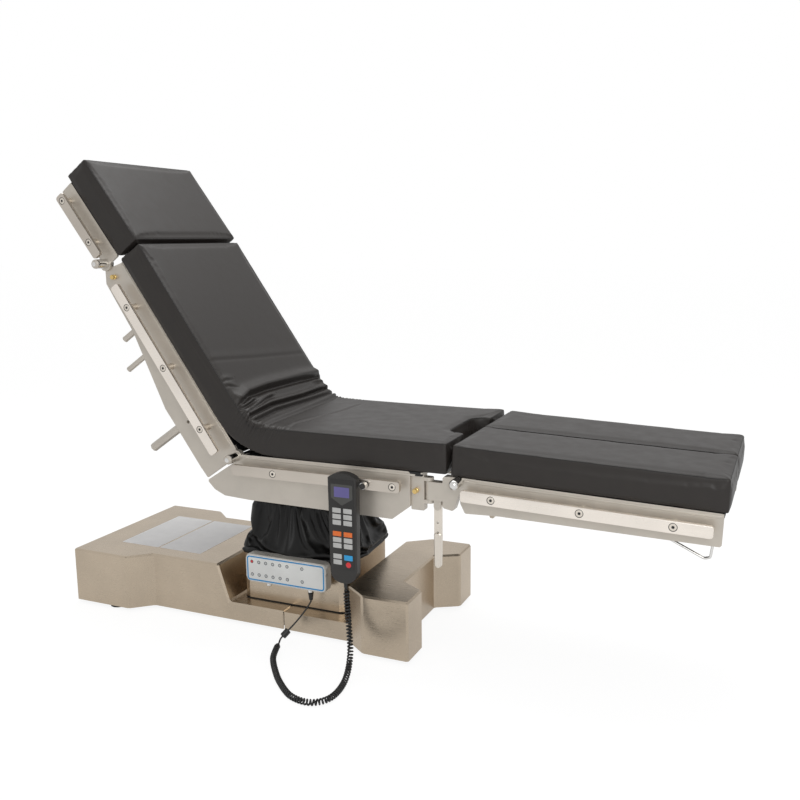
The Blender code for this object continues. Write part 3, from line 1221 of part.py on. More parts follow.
def leg_section(side, sign):
    middle = sign * (LEG_TONGUE_IN + LEG_TONGUE_OUT) / 2
    turn = frame("leg_spread_" + side, (SPREAD_PIN_X - PIVOT_X, middle, 0), SEAT)
    tilt = frame("leg_tilt_" + side, (LEG_PIVOT_REACH, -middle, LEG_Z), turn, (0, LEG_ANGLE, 0))

    # Clevis: knuckle on the upright pin, fan-shaped tongue at the tilting pin
    low, high = CLEVIS_LOW - PIVOT_Z, CLEVIS_TOP - PIVOT_Z
    reach = LEG_PIVOT_REACH
    near, far = sorted((sign * LEG_TONGUE_IN - middle, sign * LEG_TONGUE_OUT - middle))
    body = rod("knuckle", (0, 0, low), (0, 0, high), CLEVIS_KNUCKLE_RADIUS)
    tongue = [(reach + u * reach, LEG_Z + v * LEG_PLATE_DEPTH) for u, v in TONGUE_SHARES]
    fuse(body, block("neck", (0, near + GAP, low + GAP), (reach / 2 + EAR_PLATE / 2, far - GAP, high - GAP)))
    fuse(body, prism("tongue", [rounded(tongue, PLATE_CORNER, EDGE_STEPS)], near, far, "Y"))
    fuse(body, lug("tongue_lug", (reach, LEG_Z), LEG_LUG_RADIUS, near, far))
    cut(body, rod("spread_bore", (0, 0, low - OVERRUN), (0, 0, high + OVERRUN), SPREAD_PIN_RADIUS + RUN_GAP))
    cut(body, rod("tilt_bore", (reach, near - OVERRUN, LEG_Z), (reach, far + OVERRUN, LEG_Z),
                  LEG_PIN_RADIUS + RUN_GAP))
    lever_x = LEVER_REACH
    lever_z = LEVER_Z - PIVOT_Z
    for way in (-1, 1):
        near, far = sorted((way * (LEVER_THICK / 2 + RUN_GAP), way * (LEVER_THICK / 2 + LEVER_CHEEK)))
        cheek = [(lever_x + LEVER_CHEEK_HALF, low + GAP * 4), (lever_x - LEVER_CHEEK_HALF, low + GAP * 4)]
        cheek += arc((lever_x, lever_z), LEVER_CHEEK_HALF, 180, 360, 5)
        fuse(body, prism("cheek", [cheek], near, far, "Y"))
    fuse(body, rod("lever_pin", (lever_x, -LEVER_THICK / 2 - LEVER_CHEEK / 2, lever_z),
                   (lever_x, LEVER_THICK / 2 + LEVER_CHEEK / 2, lever_z), LEVER_PIN_RADIUS, SMALL_SIDES))
    finish(body, "leg_clevis_" + side, turn, PAINT)
    leg_lever(side, frame("leg_lever_axis_" + side, (lever_x, 0, lever_z), turn))

    # Frame: outer side plate, inner plate and inner bar, deck and cross tubes
    depth = LEG_PLATE_DEPTH
    plate = [(u * LEG_PLATE_LENGTH, v * depth) for u, v in LEG_PLATE_SHARES]
    top = LEG_DECK_TOP
    plate += [(LEG_PLATE_LENGTH, top), (-LUG_RADIUS / 2, top)]
    outline = rounded(plate, PLATE_CORNER, EDGE_STEPS)
    near, far = sorted((sign * OUTER_PLATE_IN, sign * OUTER_PLATE_OUT))
    body = seen_from_side("plate", outline, near, far)
    fuse(body, lug("lug", (0, 0), LEG_LUG_RADIUS, near, far))
    inner = LEG_TONGUE_IN - RUN_GAP
    near, far = sorted((sign * inner, sign * (inner - LEG_INNER_PLATE)))
    cut_x = LEG_PLATE_LENGTH * LEG_PLATE_SHARES[3][0]
    short = [plate[0], plate[1], plate[2], plate[3], (cut_x, top), (-LUG_RADIUS / 2, top)]
    fuse(body, seen_from_side("inner_plate", rounded(short, PLATE_CORNER, EDGE_STEPS), near, far))
    fuse(body, lug("lug", (0, 0), LEG_LUG_RADIUS, near, far))
    start = LUG_RADIUS * 2
    near, far = sorted((sign * LEG_INNER_BAR_Y, sign * OUTER_PLATE_OUT))
    end = LEG_PLATE_LENGTH - GAP
    fuse(body, block("deck", (start, near + GAP, top - DECK_THICK), (end, far - GAP, top - GAP)))
    near, far = sorted((sign * LEG_INNER_BAR_Y, sign * (LEG_INNER_BAR_Y + LEG_INNER_BAR)))
    fuse(body, block("inner_bar", (start - GAP, near, top - LEG_INNER_BAR), (end - GAP, far, top), PLATE_CORNER / 4))
    for u, v in LEG_TUBE_SHARES:
        x, z = u * LEG_PLATE_LENGTH, v * LEG_PLATE_DEPTH
        fuse(body, rod("cross_tube", (x, sign * LEG_INNER_BAR_Y + sign * GAP, z), (x, sign * OUTER_PLATE_IN + sign * GAP, z),
                       CROSS_TUBE_RADIUS, SMALL_SIDES))
        fuse(body, block("post", (x - CROSS_TUBE_RADIUS / 2, near + GAP, z),
                         (x + CROSS_TUBE_RADIUS / 2, far - GAP, top - DECK_THICK)))
    pin = rod("pin", (0, sign * (inner - LEG_INNER_PLATE + GAP), 0), (0, sign * PIVOT_CAP_OUT * 0.9, 0),
              LEG_PIN_RADIUS)
    cap = rod("cap", (0, sign * (OUTER_PLATE_OUT - GAP), 0), (0, sign * (PIVOT_CAP_OUT - PLATE_CORNER), 0),
              PIVOT_CAP_RADIUS)
    soften(cap, PLATE_CORNER, EDGE_STEPS, math.radians(60))
    fuse(body, pin, cap)
    loop = [(u * LEG_PLATE_LENGTH, sign * WIRE_LOOP_Y, v * depth) for u, v in WIRE_LOOP_SHARES]
    fuse(body, pipe("wire_loop", loop, WIRE_LOOP_RADIUS, 1))
    finish(body, "leg_frame_" + side, tilt, PAINT)

    rail = side_rail("rail", LEG_RAIL_START, LEG_RAIL_END, LEG_RAIL_Z, OUTER_PLATE_OUT, LEG_BOLT_SHARES, sign)
    finish(rail, "leg_rail_" + side, tilt, STEEL)

    near, far = sorted((sign * LEG_PAD_SPLIT, sign * PAD_HALF))
    pad = cushion("leg_pad", LEG_PAD_START, LEG_PAD_END, near, far, top + PAD_LIFT)
    finish(pad, "leg_pad_" + side, tilt, PAD_BLACK)
    plunger("leg_plunger_" + side, LEG_PLUNGER_X - PIVOT_X, LEG_PLUNGER_Z - PIVOT_Z, LEG_TONGUE_OUT, sign, SEAT)


# Control box on the near side of the column
def control_box():
    back = BOX_FACE - BOX_DEPTH
    outline = rectangle((BOX_END - BOX_START) / 2, (BOX_TOP - BOX_LOW) / 2, BOX_CORNER,
                        ((BOX_START + BOX_END) / 2, (BOX_TOP + BOX_LOW) / 2))
    body = prism("box", [outline], -BOX_FACE, -back, "Y")
    soften(body, PANEL_THICK, 1, math.radians(50))
    foot = [(BOX_START + BOX_CORNER * 2, BOX_LOW + BOX_CORNER / 2), (BOX_END - BOX_CORNER * 2, BOX_TOP - BOX_CORNER * 2.5)]
    fuse(body, block("foot", (foot[0][0], -back - BOX_CORNER, foot[0][1]), (foot[1][0], -SLEEVE_HALF_Y - GAP, foot[1][1])))
    middle = -(BOX_FACE + back) / 2
    for x in (SPARE_SOCKET_X, PLUG_X):
        fuse(body, rod("socket", (x, middle, BOX_LOW - SOCKET_DROP), (x, middle, BOX_LOW + BOX_CORNER / 2),
                       SOCKET_RADIUS))
    finish(body, "control_box", TABLE, BOX_PAINT)
    width, height = BOX_END - BOX_START - PANEL_INSET * 2, BOX_TOP - BOX_LOW - PANEL_INSET * 2
    centre = ((BOX_START + BOX_END) / 2, (BOX_TOP + BOX_LOW) / 2)
    face = -BOX_FACE - GAP
    panel = prism("panel", [rectangle(width / 2, height / 2, BOX_CORNER - PANEL_INSET, centre)], face - PANEL_THICK,
                  face, "Y")
    for column in KEY_COLUMN_SHARES:
        for row in KEY_ROW_SHARES:
            x = BOX_START + PANEL_INSET + column * width
            z = BOX_LOW + PANEL_INSET + row * height - KEY_RADIUS
            fuse(panel, rod("key", (x, face - PANEL_THICK / 2, z), (x, face - PANEL_THICK - KEY_PROUD, z), KEY_RADIUS,
                            HEX_SIDES))
    finish(panel, "control_panel", TABLE, PANEL)


# Hand control hanging on the seat rail
def handset():
    holder = frame("handset_swing", (HANDSET_X - PIVOT_X, -(RAIL_OUT - RAIL_THICK / 2), SEAT_RAIL_Z), SEAT)
    rail_middle = -(RAIL_OUT - RAIL_THICK / 2)
    rail_z = PIVOT_Z + SEAT_RAIL_Z
    front = -HANDSET_FRONT - rail_middle
    back = -HANDSET_BACK - rail_middle
    low, top = HANDSET_LOW - rail_z, HANDSET_TOP - rail_z
    height = top - low
    rise = height * HANDSET_ARCH_SHARE
    arch_radius = (rise ** 2 + (HANDSET_TOP_WIDTH / 2) ** 2) / (2 * rise)
    half_turn = math.degrees(math.asin(HANDSET_TOP_WIDTH / 2 / arch_radius))
    shape = arc((0, top - arch_radius), arch_radius, 90 - half_turn, 90 + half_turn, 4)
    lower = rounded([(-HANDSET_TOP_WIDTH / 2, top - rise), (-HANDSET_LOW_WIDTH / 2, low), (HANDSET_LOW_WIDTH / 2, low),
                     (HANDSET_TOP_WIDTH / 2, top - rise)], HANDSET_CORNER, 4)
    shape += [point for point in lower if point[1] < top - rise - HANDSET_CORNER]
    body = prism("body", [shape], front, back, "Y")
    soften(body, HANDSET_EDGE, EDGE_STEPS, math.radians(50))
    finish(body, "handset_body", holder, PLASTIC)

    width = HANDSET_LOW_WIDTH * KEYPAD_WIDTH_SHARE
    plate_low, plate_top = low + height * KEYPAD_LOW_SHARE, low + height * KEYPAD_TOP_SHARE
    face = front - GAP
    pad = prism("keypad", [rectangle(width / 2, (plate_top - plate_low) / 2, HANDSET_EDGE,
                                     (0, (plate_top + plate_low) / 2))], face - PANEL_THICK, face, "Y")
    screen_low = low + height * SCREEN_SHARES[0]
    screen_top = low + height * SCREEN_SHARES[1]
    half = width * SCREEN_HALF_SHARE
    bezel = [(-half, screen_top), (-half, screen_low), (0, screen_low - height * SCREEN_TIP_SHARE), (half, screen_low),
             (half, screen_top)]
    fuse(pad, prism("bezel", [rounded(bezel, PLATE_CORNER)], face - PANEL_THICK - KEY_PROUD, face - PANEL_THICK / 2, "Y"))
    for row, share in enumerate(HANDSET_KEY_ROW_SHARES):
        z = low + height * share
        for x in (-width * HANDSET_KEY_SHARE, width * HANDSET_KEY_SHARE):
            size = (HANDSET_KEY_WIDTH / 2, HANDSET_KEY_HEIGHT / 2)
            fuse(pad, block("key", (x - size[0], face - PANEL_THICK - KEY_PROUD, z - size[1]),
                            (x + size[0], face - PANEL_THICK / 2, z + size[1])))
    finish(pad, "handset_keypad", holder, PLASTIC)

    hook_half = HOOK_WIDTH / 2
    rail_half = RAIL_HEIGHT / 2
    inner = RAIL_THICK / 2 + HOOK_SLACK
    crown = rail_half + HOOK_SLACK
    strap = [(back + GAP, -rail_half), (back + GAP, crown + HOOK_THICK), (inner + HOOK_THICK, crown + HOOK_THICK),
             (inner + HOOK_THICK, rail_half - HOOK_DROP), (inner, rail_half - HOOK_DROP), (inner, crown),
             (back + GAP + HOOK_THICK, crown), (back + GAP + HOOK_THICK, -rail_half)]
    hook = prism("hook", [strap], -hook_half, hook_half, "X")
    arm_front, arm_back = back + GAP * 2, back + HOOK_THICK
    knob_x = HANDSET_TOP_WIDTH / 2 + HOOK_KNOB_RADIUS + HOOK_THICK
    fuse(hook, block("arm", (hook_half - HOOK_THICK, arm_front, -HOOK_KNOB_RADIUS), (knob_x, arm_back, HOOK_KNOB_RADIUS)))
    fuse(hook, rod("knob", (knob_x, arm_back - GAP, 0), (knob_x, arm_front - HOOK_KNOB_PROUD, 0), HOOK_KNOB_RADIUS))
    finish(hook, "handset_hook", holder, CHROME)


# Cord of the hand control: a straight lead, a curly stretch on the floor and a straight tail
def smooth_path(points, steps):
    """A smooth curve through the given points."""
    points = [Vector(point) for point in points]
    ends = [points[0] * 2 - points[1], *points, points[-1] * 2 - points[-2]]
    path = []
    for index in range(1, len(ends) - 2):
        a, b, c, d = ends[index - 1:index + 3]
        for step in range(steps):
            t = step / steps
            path.append(((b * 2) + (c - a) * t + (a * 2 - b * 5 + c * 4 - d) * t ** 2
                         + (b * 3 - a - c * 3 + d) * t ** 3) / 2)
    path.append(points[-1])
    return path


def spaced(path, count):
    """The same path as a given number of equal steps."""
    lengths = [0]
    for first, second in zip(path, path[1:]):
        lengths.append(lengths[-1] + (second - first).length)
    spots = []
    index = 0
    for step in range(count + 1):
        target = lengths[-1] * step / count
        while index < len(path) - 2 and lengths[index + 1] < target:
            index += 1
        share = (target - lengths[index]) / (lengths[index + 1] - lengths[index])
        spots.append(path[index].lerp(path[index + 1], share))
    return spots, lengths[-1]


def curls(path, count, radius):
    """A helix wound about a path, with straight ends that lie on the path."""
    steps = count * CURL_POINTS
    spots, length = spaced(path, steps)
    side = None
    helix = []
    ramp = CURL_POINTS - CURL_END_POINTS
    for index, spot in enumerate(spots):
        along = spots[min(index + 1, steps)] - spots[max(index - 1, 0)]
        along.normalize()
        if side is None:
            side = along.orthogonal().normalized()
        side = (side - along * side.dot(along)).normalized()
        up = along.cross(side)
        turn = math.tau * index / CURL_POINTS
        from_end = min(index, steps - index) - CURL_END_POINTS
        grow = min(1, max(0, from_end) / ramp)
        helix.append(spot + (side * math.cos(turn) + up * math.sin(turn)) * radius * grow)
    return helix[CURL_END_POINTS:-CURL_END_POINTS], length


def on_floor_plan(point):
    """A point of a cord's route, given from the column's axis."""
    return Vector(point) + Vector((COLUMN_X, 0, 0))


def cord():
    middle = -(BOX_FACE - BOX_DEPTH / 2)
    socket_end = BOX_LOW - SOCKET_DROP
    plug_top = socket_end - GAP
    plug_end = plug_top - PLUG_LENGTH
    plug = rod("plug", (PLUG_X, middle, plug_end), (PLUG_X, middle, plug_top), PLUG_RADIUS * 0.6, ROUND_SIDES, PLUG_RADIUS)
    finish(plug, "cord_plug", TABLE, RUBBER)
    first = Vector((PLUG_X, middle, plug_end - GAP))
    straight = WIRE_RADIUS * 2
    route = [first - Vector((0, 0, straight)), *[on_floor_plan(point) for point in LEAD_ROUTE]]
    curl_route = [on_floor_plan(point) for point in CURL_ROUTE]
    curl_start, curl_end = curl_route[0], curl_route[-1]
    helix, length = curls(smooth_path(curl_route, CURL_ROUTE_STEPS), CURL_COUNT, CURL_RADIUS - WIRE_RADIUS)
    outward = (helix[0] - curl_start).normalized()
    upward = (curl_end - helix[-1]).normalized()
    route.append(curl_start - outward * (GAP + straight))
    path = [first, *smooth_path(route, LEAD_ROUTE_STEPS), curl_start - outward * GAP]
    lead = pipe("lead", path, WIRE_RADIUS)
    finish(lead, "cord_lead", TABLE, RUBBER)

    bead_start, bead_end = on_floor_plan(LEAD_ROUTE[-3]), on_floor_plan(LEAD_ROUTE[-1])
    bead_axis = (bead_end - bead_start).normalized()
    centre = (bead_start + bead_end) / 2
    half = bead_axis * FERRITE_LENGTH / 2
    bead = rod("bead", centre - half, centre + half, FERRITE_RADIUS)
    soften(bead, WIRE_RADIUS / 2)
    cut(bead, rod("bead_bore", centre - half * 2, centre + half * 2, WIRE_RADIUS + FERRITE_SLACK, ROUND_SIDES))
    finish(bead, "cord_ferrite", TABLE, RUBBER)

    helix = [curl_start, *helix, curl_end]
    coil = pipe("coil", helix, WIRE_RADIUS, 1)
    finish(coil, "cord_curly", TABLE, RUBBER)
    least = least_gap(helix, CURL_POINTS)
    print("curly cord: length", round(length, 3), "pitch", round(length / CURL_COUNT, 4), "least gap", round(least, 4))

    end = Vector((HANDSET_X, -(HANDSET_FRONT + HANDSET_BACK) / 2, HANDSET_LOW - GAP))
    route = [curl_end + upward * GAP, curl_end + upward * (GAP + straight), end - Vector((0, 0, straight)), end]
    tail = pipe("tail", route, WIRE_RADIUS)
    finish(tail, "cord_tail", TABLE, RUBBER)


def least_gap(points, turn):
    """The least gap between a wound tube and its own other turns."""
    least = 1
    for index, point in enumerate(points):
        for other in points[index + turn // 2:index + turn * 2]:
            least = min(least, (other - point).length - WIRE_RADIUS * 2)
    return least


head_cover()
middle_cover()
foot_cover()
chassis()
brake_feet()
castors()
base_contents()
column()
bellows()
seat_frame()
seat_pad()
back_frame()
back_pad()
head_section()
for side_name, side_sign in sides():
    leg_section(side_name, side_sign)
    plunger("head_plunger_" + side_name, -HEAD_PLUNGER_S, HEAD_PLUNGER_N, INNER_PLATE_OUT, side_sign, BACK)
control_box()
handset()
cord()
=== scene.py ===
# %% [markdown]
# # An electro-hydraulic operating table
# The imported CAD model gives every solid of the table: base, column, frames, rails, pads, hand control.
# This script dresses it. Solids whose shape is right keep their mesh and get a real finish. Soft pieces,
# whose solids are smooth, are hidden. Inflated cushions and a hung sleeve of cloth take their places.
# All places below are in metres in the frame of the CAD model: X to the foot end, Z up, floor at 0.

import math

import bmesh
import bpy
from mathutils import Matrix, Vector, noise
from mathutils.bvhtree import BVHTree


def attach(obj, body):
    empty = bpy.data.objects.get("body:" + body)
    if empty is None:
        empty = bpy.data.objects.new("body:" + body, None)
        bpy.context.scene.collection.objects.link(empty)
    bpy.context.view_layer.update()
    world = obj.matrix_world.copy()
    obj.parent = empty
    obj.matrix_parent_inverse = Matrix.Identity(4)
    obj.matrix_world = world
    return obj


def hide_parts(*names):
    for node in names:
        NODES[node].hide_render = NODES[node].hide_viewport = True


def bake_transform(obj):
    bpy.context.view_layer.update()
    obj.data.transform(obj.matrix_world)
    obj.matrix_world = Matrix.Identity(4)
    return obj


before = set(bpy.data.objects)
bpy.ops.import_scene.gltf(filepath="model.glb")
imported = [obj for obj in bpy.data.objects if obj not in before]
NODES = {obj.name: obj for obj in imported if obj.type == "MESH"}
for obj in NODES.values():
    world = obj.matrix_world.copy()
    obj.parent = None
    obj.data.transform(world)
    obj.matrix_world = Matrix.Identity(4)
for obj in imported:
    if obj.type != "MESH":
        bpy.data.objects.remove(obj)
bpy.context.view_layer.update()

# %% [markdown]
# ## Camera
# The photograph was taken from the near side, a little towards the foot end and above the pads.
# The camera's place, turn and focal length were fitted to edges of the base, the rails and the pads.
# The fit's scale is an estimate, from the usual height of accessory rails and size of such tables.
# The focal length is in pixels, so the lens follows from the picture's width.

# %% Camera
PHOTO_WIDTH = 800
FOCAL_PIXELS = 901.68
CAMERA_PLACE = Vector((1.02584, -2.207, 1.0716))
CAMERA_YAW = -0.41646
CAMERA_PITCH = -0.17635
CAMERA_ROLL = -0.01045

camera_data = bpy.data.cameras.new("photo_camera")
camera_data.sensor_width = 36
camera_data.lens = FOCAL_PIXELS * camera_data.sensor_width / PHOTO_WIDTH
camera = bpy.data.objects.new("photo_camera", camera_data)
bpy.context.scene.collection.objects.link(camera)
forward = Vector((math.sin(CAMERA_YAW) * math.cos(CAMERA_PITCH),
                  math.cos(CAMERA_YAW) * math.cos(CAMERA_PITCH), math.sin(CAMERA_PITCH)))
level_right = Vector((math.cos(CAMERA_YAW), -math.sin(CAMERA_YAW), 0))
level_up = level_right.cross(forward)
right = level_right * math.cos(CAMERA_ROLL) + level_up * math.sin(CAMERA_ROLL)
up = level_up * math.cos(CAMERA_ROLL) - level_right * math.sin(CAMERA_ROLL)
turned_camera = Matrix((right, up, -forward)).transposed().to_4x4()
camera.matrix_world = Matrix.Translation(CAMERA_PLACE) @ turned_camera
bpy.context.scene.camera = camera
bpy.context.scene.view_settings.view_transform = "Standard"
print("camera lens", round(camera_data.lens, 2), "mm on a", camera_data.sensor_width, "mm sensor")

# %% [markdown]
# ## Small tools for making meshes
# Every new piece is one mesh object in the scene's collection. A tube follows a list of points with a
# frame that is carried along without twisting, which is what keeps a wound cord's wire round.

# %% Mesh helpers
def piece_from(name, form, look, smooth=35):
    """Turn a bmesh into a named piece with its finish."""
    mesh = bpy.data.meshes.new(name)
    bmesh.ops.recalc_face_normals(form, faces=form.faces)
    form.to_mesh(mesh)
    form.free()
    made = bpy.data.objects.new(name, mesh)
    bpy.context.scene.collection.objects.link(made)
    mesh.materials.append(look)
    mesh.shade_smooth()
    mesh.set_sharp_from_angle(angle=math.radians(smooth))
    return made


def square_to(along, side):
    """A direction square to the path: the one of the step before, turned as little as that takes."""
    if side is None:
        return along.orthogonal().normalized()
    return (side - along * side.dot(along)).normalized()


def add_tube(form, points, radius, sides=12, closed=False):
    """Add a round tube along the points to a bmesh, capped at both ends unless it is closed."""
    points = [Vector(point) for point in points]
    count = len(points)
    side = None
    rings = []
    for index, point in enumerate(points):
        before = points[index - 1] if index or closed else point
        after = points[(index + 1) % count] if index < count - 1 or closed else point
        along = (after - before).normalized()
        side = square_to(along, side)
        across = along.cross(side)
        ring = []
        for step in range(sides):
            turn = math.tau * step / sides
            ring.append(form.verts.new(point + (side * math.cos(turn) + across * math.sin(turn)) * radius))
        rings.append(ring)
    pairs = list(zip(rings, rings[1:]))
    if closed:
        pairs.append((rings[-1], rings[0]))
    for first, second in pairs:
        for step in range(sides):
            after = (step + 1) % sides
            form.faces.new((first[step], first[after], second[after], second[step]))
    if not closed:
        form.faces.new(rings[0][::-1])
        form.faces.new(rings[-1])
    return rings


def smooth_path(points, steps):
    """A smooth curve through the given points."""
    points = [Vector(point) for point in points]
    ends = [points[0] * 2 - points[1], *points, points[-1] * 2 - points[-2]]
    path = []
    for index in range(1, len(ends) - 2):
        a, b, c, d = ends[index - 1:index + 3]
        for step in range(steps):
            t = step / steps
            path.append(((b * 2) + (c - a) * t + (a * 2 - b * 5 + c * 4 - d) * t ** 2
                         + (b * 3 - a - c * 3 + d) * t ** 3) / 2)
    path.append(points[-1])
    return path


def spaced(path, count):
    """The same path cut into equal steps, and its length."""
    lengths = [0]
    for first, second in zip(path, path[1:]):
        lengths.append(lengths[-1] + (second - first).length)
    spots = []
    index = 0
    for step in range(count + 1):
        target = lengths[-1] * step / count
        while index < len(path) - 2 and lengths[index + 1] < target:
            index += 1
        share = (target - lengths[index]) / (lengths[index + 1] - lengths[index])
        spots.append(path[index].lerp(path[index + 1], share))
    return spots, lengths[-1]


# %% Outlines and plates
def round_corners(corners, radius, steps=8):
    """An outline with each of its corners turned into an arc. Radius may be one number or one a corner."""
    outline = []
    count = len(corners)
    for index, corner in enumerate(corners):
        size = radius[index] if hasattr(radius, "__len__") else radius
        corner = Vector(corner)
        before = (Vector(corners[index - 1]) - corner).normalized()
        after = (Vector(corners[(index + 1) % count]) - corner).normalized()
        if size == 0:
            outline.append(tuple(corner))
            continue
        half = before.angle(after) / 2
        centre = corner + (before + after).normalized() * (size / math.sin(half))
        start = corner + before * (size / math.tan(half)) - centre
        end = corner + after * (size / math.tan(half)) - centre
        first = math.atan2(start.y, start.x)
        turn = (math.atan2(end.y, end.x) - first + math.pi) % math.tau - math.pi
        for step in range(steps + 1):
            angle = first + turn * step / steps
            outline.append((centre.x + size * math.cos(angle), centre.y + size * math.sin(angle)))
    return outline


def add_plate(form, outline, low, high, place, edge=0.0, segments=3, inner=None):
    """Add a plate: an outline, drawn from low to high, with its outer rims rounded by the given edge."""
    rings = [[form.verts.new(place(u, v, level)) for u, v in outline] for level in (low, high)]
    count = len(outline)
    for index in range(count):
        after = (index + 1) % count
        form.faces.new((rings[0][index], rings[0][after], rings[1][after], rings[1][index]))
    if inner is None:
        caps = [form.faces.new(rings[0][::-1]), form.faces.new(rings[1])]
        if edge:
            rims = {line for cap in caps for line in cap.edges}
            bmesh.ops.bevel(form, geom=list(rims), offset=edge, segments=segments, affect="EDGES",
                            profile=0.5)
        return
    hole = [[form.verts.new(place(u, v, level)) for u, v in inner] for level in (low, high)]
    for index in range(count):
        after = (index + 1) % count
        form.faces.new((hole[0][index], hole[1][index], hole[1][after], hole[0][after]))
        for outer_ring, inner_ring in zip(rings, hole):
            form.faces.new((outer_ring[index], outer_ring[after], inner_ring[after], inner_ring[index]))


def plate_piece(name, outline, low, high, place, look, edge=0.0, segments=3, inner=None):
    form = bmesh.new()
    add_plate(form, outline, low, high, place, edge, segments, inner)
    return piece_from(name, form, look)


def add_turned(form, profile, origin, axis, steps=32):
    """Add a turned solid: a profile of (radius, height), from radius 0 to radius 0, spun about an axis."""
    origin, axis = Vector(origin), Vector(axis).normalized()
    side = axis.orthogonal().normalized()
    across = axis.cross(side)
    rings = []
    for radius, height in profile:
        centre = origin + axis * height
        if radius == 0:
            rings.append([form.verts.new(centre)])
            continue
        rings.append([form.verts.new(centre + (side * math.cos(math.tau * step / steps)
                                               + across * math.sin(math.tau * step / steps)) * radius)
                      for step in range(steps)])
    for first, second in zip(rings, rings[1:]):
        for step in range(steps):
            after = (step + 1) % steps
            if len(first) == 1:
                form.faces.new((first[0], second[step], second[after]))
            elif len(second) == 1:
                form.faces.new((first[step], second[0], first[after]))
            else:
                form.faces.new((first[step], first[after], second[after], second[step]))


def turned_piece(name, profile, origin, axis, look, steps=32):
    form = bmesh.new()
    add_turned(form, profile, origin, axis, steps)
    return piece_from(name, form, look)


def set_out(piece, body, slot, *nodes):
    """Let a piece ride on its body and stand for the named nodes. Its slot is not used."""
    if nodes:
        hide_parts(*nodes)
    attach(piece, body)
    return piece


# %% [markdown]
# ## Finishes
# Each finish is made of nodes only. Metals get a roughness and a faint bump that are stretched along
# the direction in which the sheet was brushed. Moulded plastic gets a fine grain, and the pad cover,
# a coated fabric, gets a satin face with a very small pebble.

# %% Material helpers
def finish_of(name, colour, metallic=0.0, roughness=0.5):
    """A new material, with its node tree and its shader."""
    made = bpy.data.materials.new(name)
    made.use_nodes = True
    shader = made.node_tree.nodes["Principled BSDF"]
    shader.inputs["Base Color"].default_value = (*colour, 1)
    shader.inputs["Metallic"].default_value = metallic
    shader.inputs["Roughness"].default_value = roughness
    return made, made.node_tree, shader


def grain(tree, size, stretch=(1, 1, 1), detail=3.0):
    """A noise whose grain has the given size in metres, longer along the axes with a small stretch."""
    place = tree.nodes.new("ShaderNodeTexCoord")
    turn = tree.nodes.new("ShaderNodeMapping")
    turn.inputs["Scale"].default_value = stretch
    tree.links.new(place.outputs["Object"], turn.inputs["Vector"])
    made = tree.nodes.new("ShaderNodeTexNoise")
    made.inputs["Scale"].default_value = 1 / size
    made.inputs["Detail"].default_value = detail
    tree.links.new(turn.outputs["Vector"], made.inputs["Vector"])
    return made.outputs["Fac"]


def spread_over(tree, value, low, high):
    """Map a noise, whose values lie mostly from 0.3 to 0.7, to a range."""
    made = tree.nodes.new("ShaderNodeMapRange")
    made.inputs["From Min"].default_value = 0.3
    made.inputs["From Max"].default_value = 0.7
    made.inputs["To Min"].default_value = low
    made.inputs["To Max"].default_value = high
    tree.links.new(value, made.inputs["Value"])
    return made.outputs["Result"]


def shade_between(tree, value, dark, light):
    """A colour that goes from dark to light with a value."""
    made = tree.nodes.new("ShaderNodeMix")
    made.data_type = "RGBA"
    made.inputs["A"].default_value = (*dark, 1)
    made.inputs["B"].default_value = (*light, 1)
    tree.links.new(value, made.inputs["Factor"])
    return made.outputs["Result"]


def raise_by(tree, shader, value, depth, before=None):
    """Bump the surface by a noise, a few hundredths of a millimetre deep."""
    made = tree.nodes.new("ShaderNodeBump")
    made.inputs["Strength"].default_value = 1.0
    made.inputs["Distance"].default_value = depth
    tree.links.new(value, made.inputs["Height"])
    if before is not None:
        tree.links.new(before, made.inputs["Normal"])
    tree.links.new(made.outputs["Normal"], shader.inputs["Normal"])
    return made.outputs["Normal"]


def tinted(colour, factor):
    return tuple(min(1, part * factor) for part in colour)


def brushed_metal(name, colour, roughness, stretch, spread=0.10, depth=0.00003):
    """Sheet steel with its brushing along the axis whose stretch is small."""
    made, tree, shader = finish_of(name, colour, 1.0, roughness)
    lines = grain(tree, 0.0016, stretch, 2)
    clouds = grain(tree, 0.12, (1, 1, 1), 2)
    tree.links.new(shade_between(tree, spread_over(tree, clouds, 0, 1), tinted(colour, 0.94),
                                 tinted(colour, 1.05)),
                   shader.inputs["Base Color"])
    tree.links.new(spread_over(tree, lines, roughness - spread / 2, roughness + spread / 2),
                   shader.inputs["Roughness"])
    raise_by(tree, shader, lines, depth)
    return made


def sprayed_paint(name, colour, metallic, roughness, pebble=0.0014, depth=0.00004):
    """Baked paint with the orange-peel surface that spraying leaves."""
    made, tree, shader = finish_of(name, colour, metallic, roughness)
    peel = grain(tree, pebble, (1, 1, 1), 2)
    clouds = grain(tree, 0.05, (1, 1, 1), 3)
    tree.links.new(shade_between(tree, spread_over(tree, clouds, 0, 1), tinted(colour, 0.95),
                                 tinted(colour, 1.04)),
                   shader.inputs["Base Color"])
    tree.links.new(spread_over(tree, clouds, roughness - 0.05, roughness + 0.05),
                   shader.inputs["Roughness"])
    raise_by(tree, shader, peel, depth)
    return made


def moulded_plastic(name, colour, roughness, pebble=0.0006, depth=0.00003):
    """Plastic or rubber with the fine texture of its mould."""
    return sprayed_paint(name, colour, 0.0, roughness, pebble, depth)


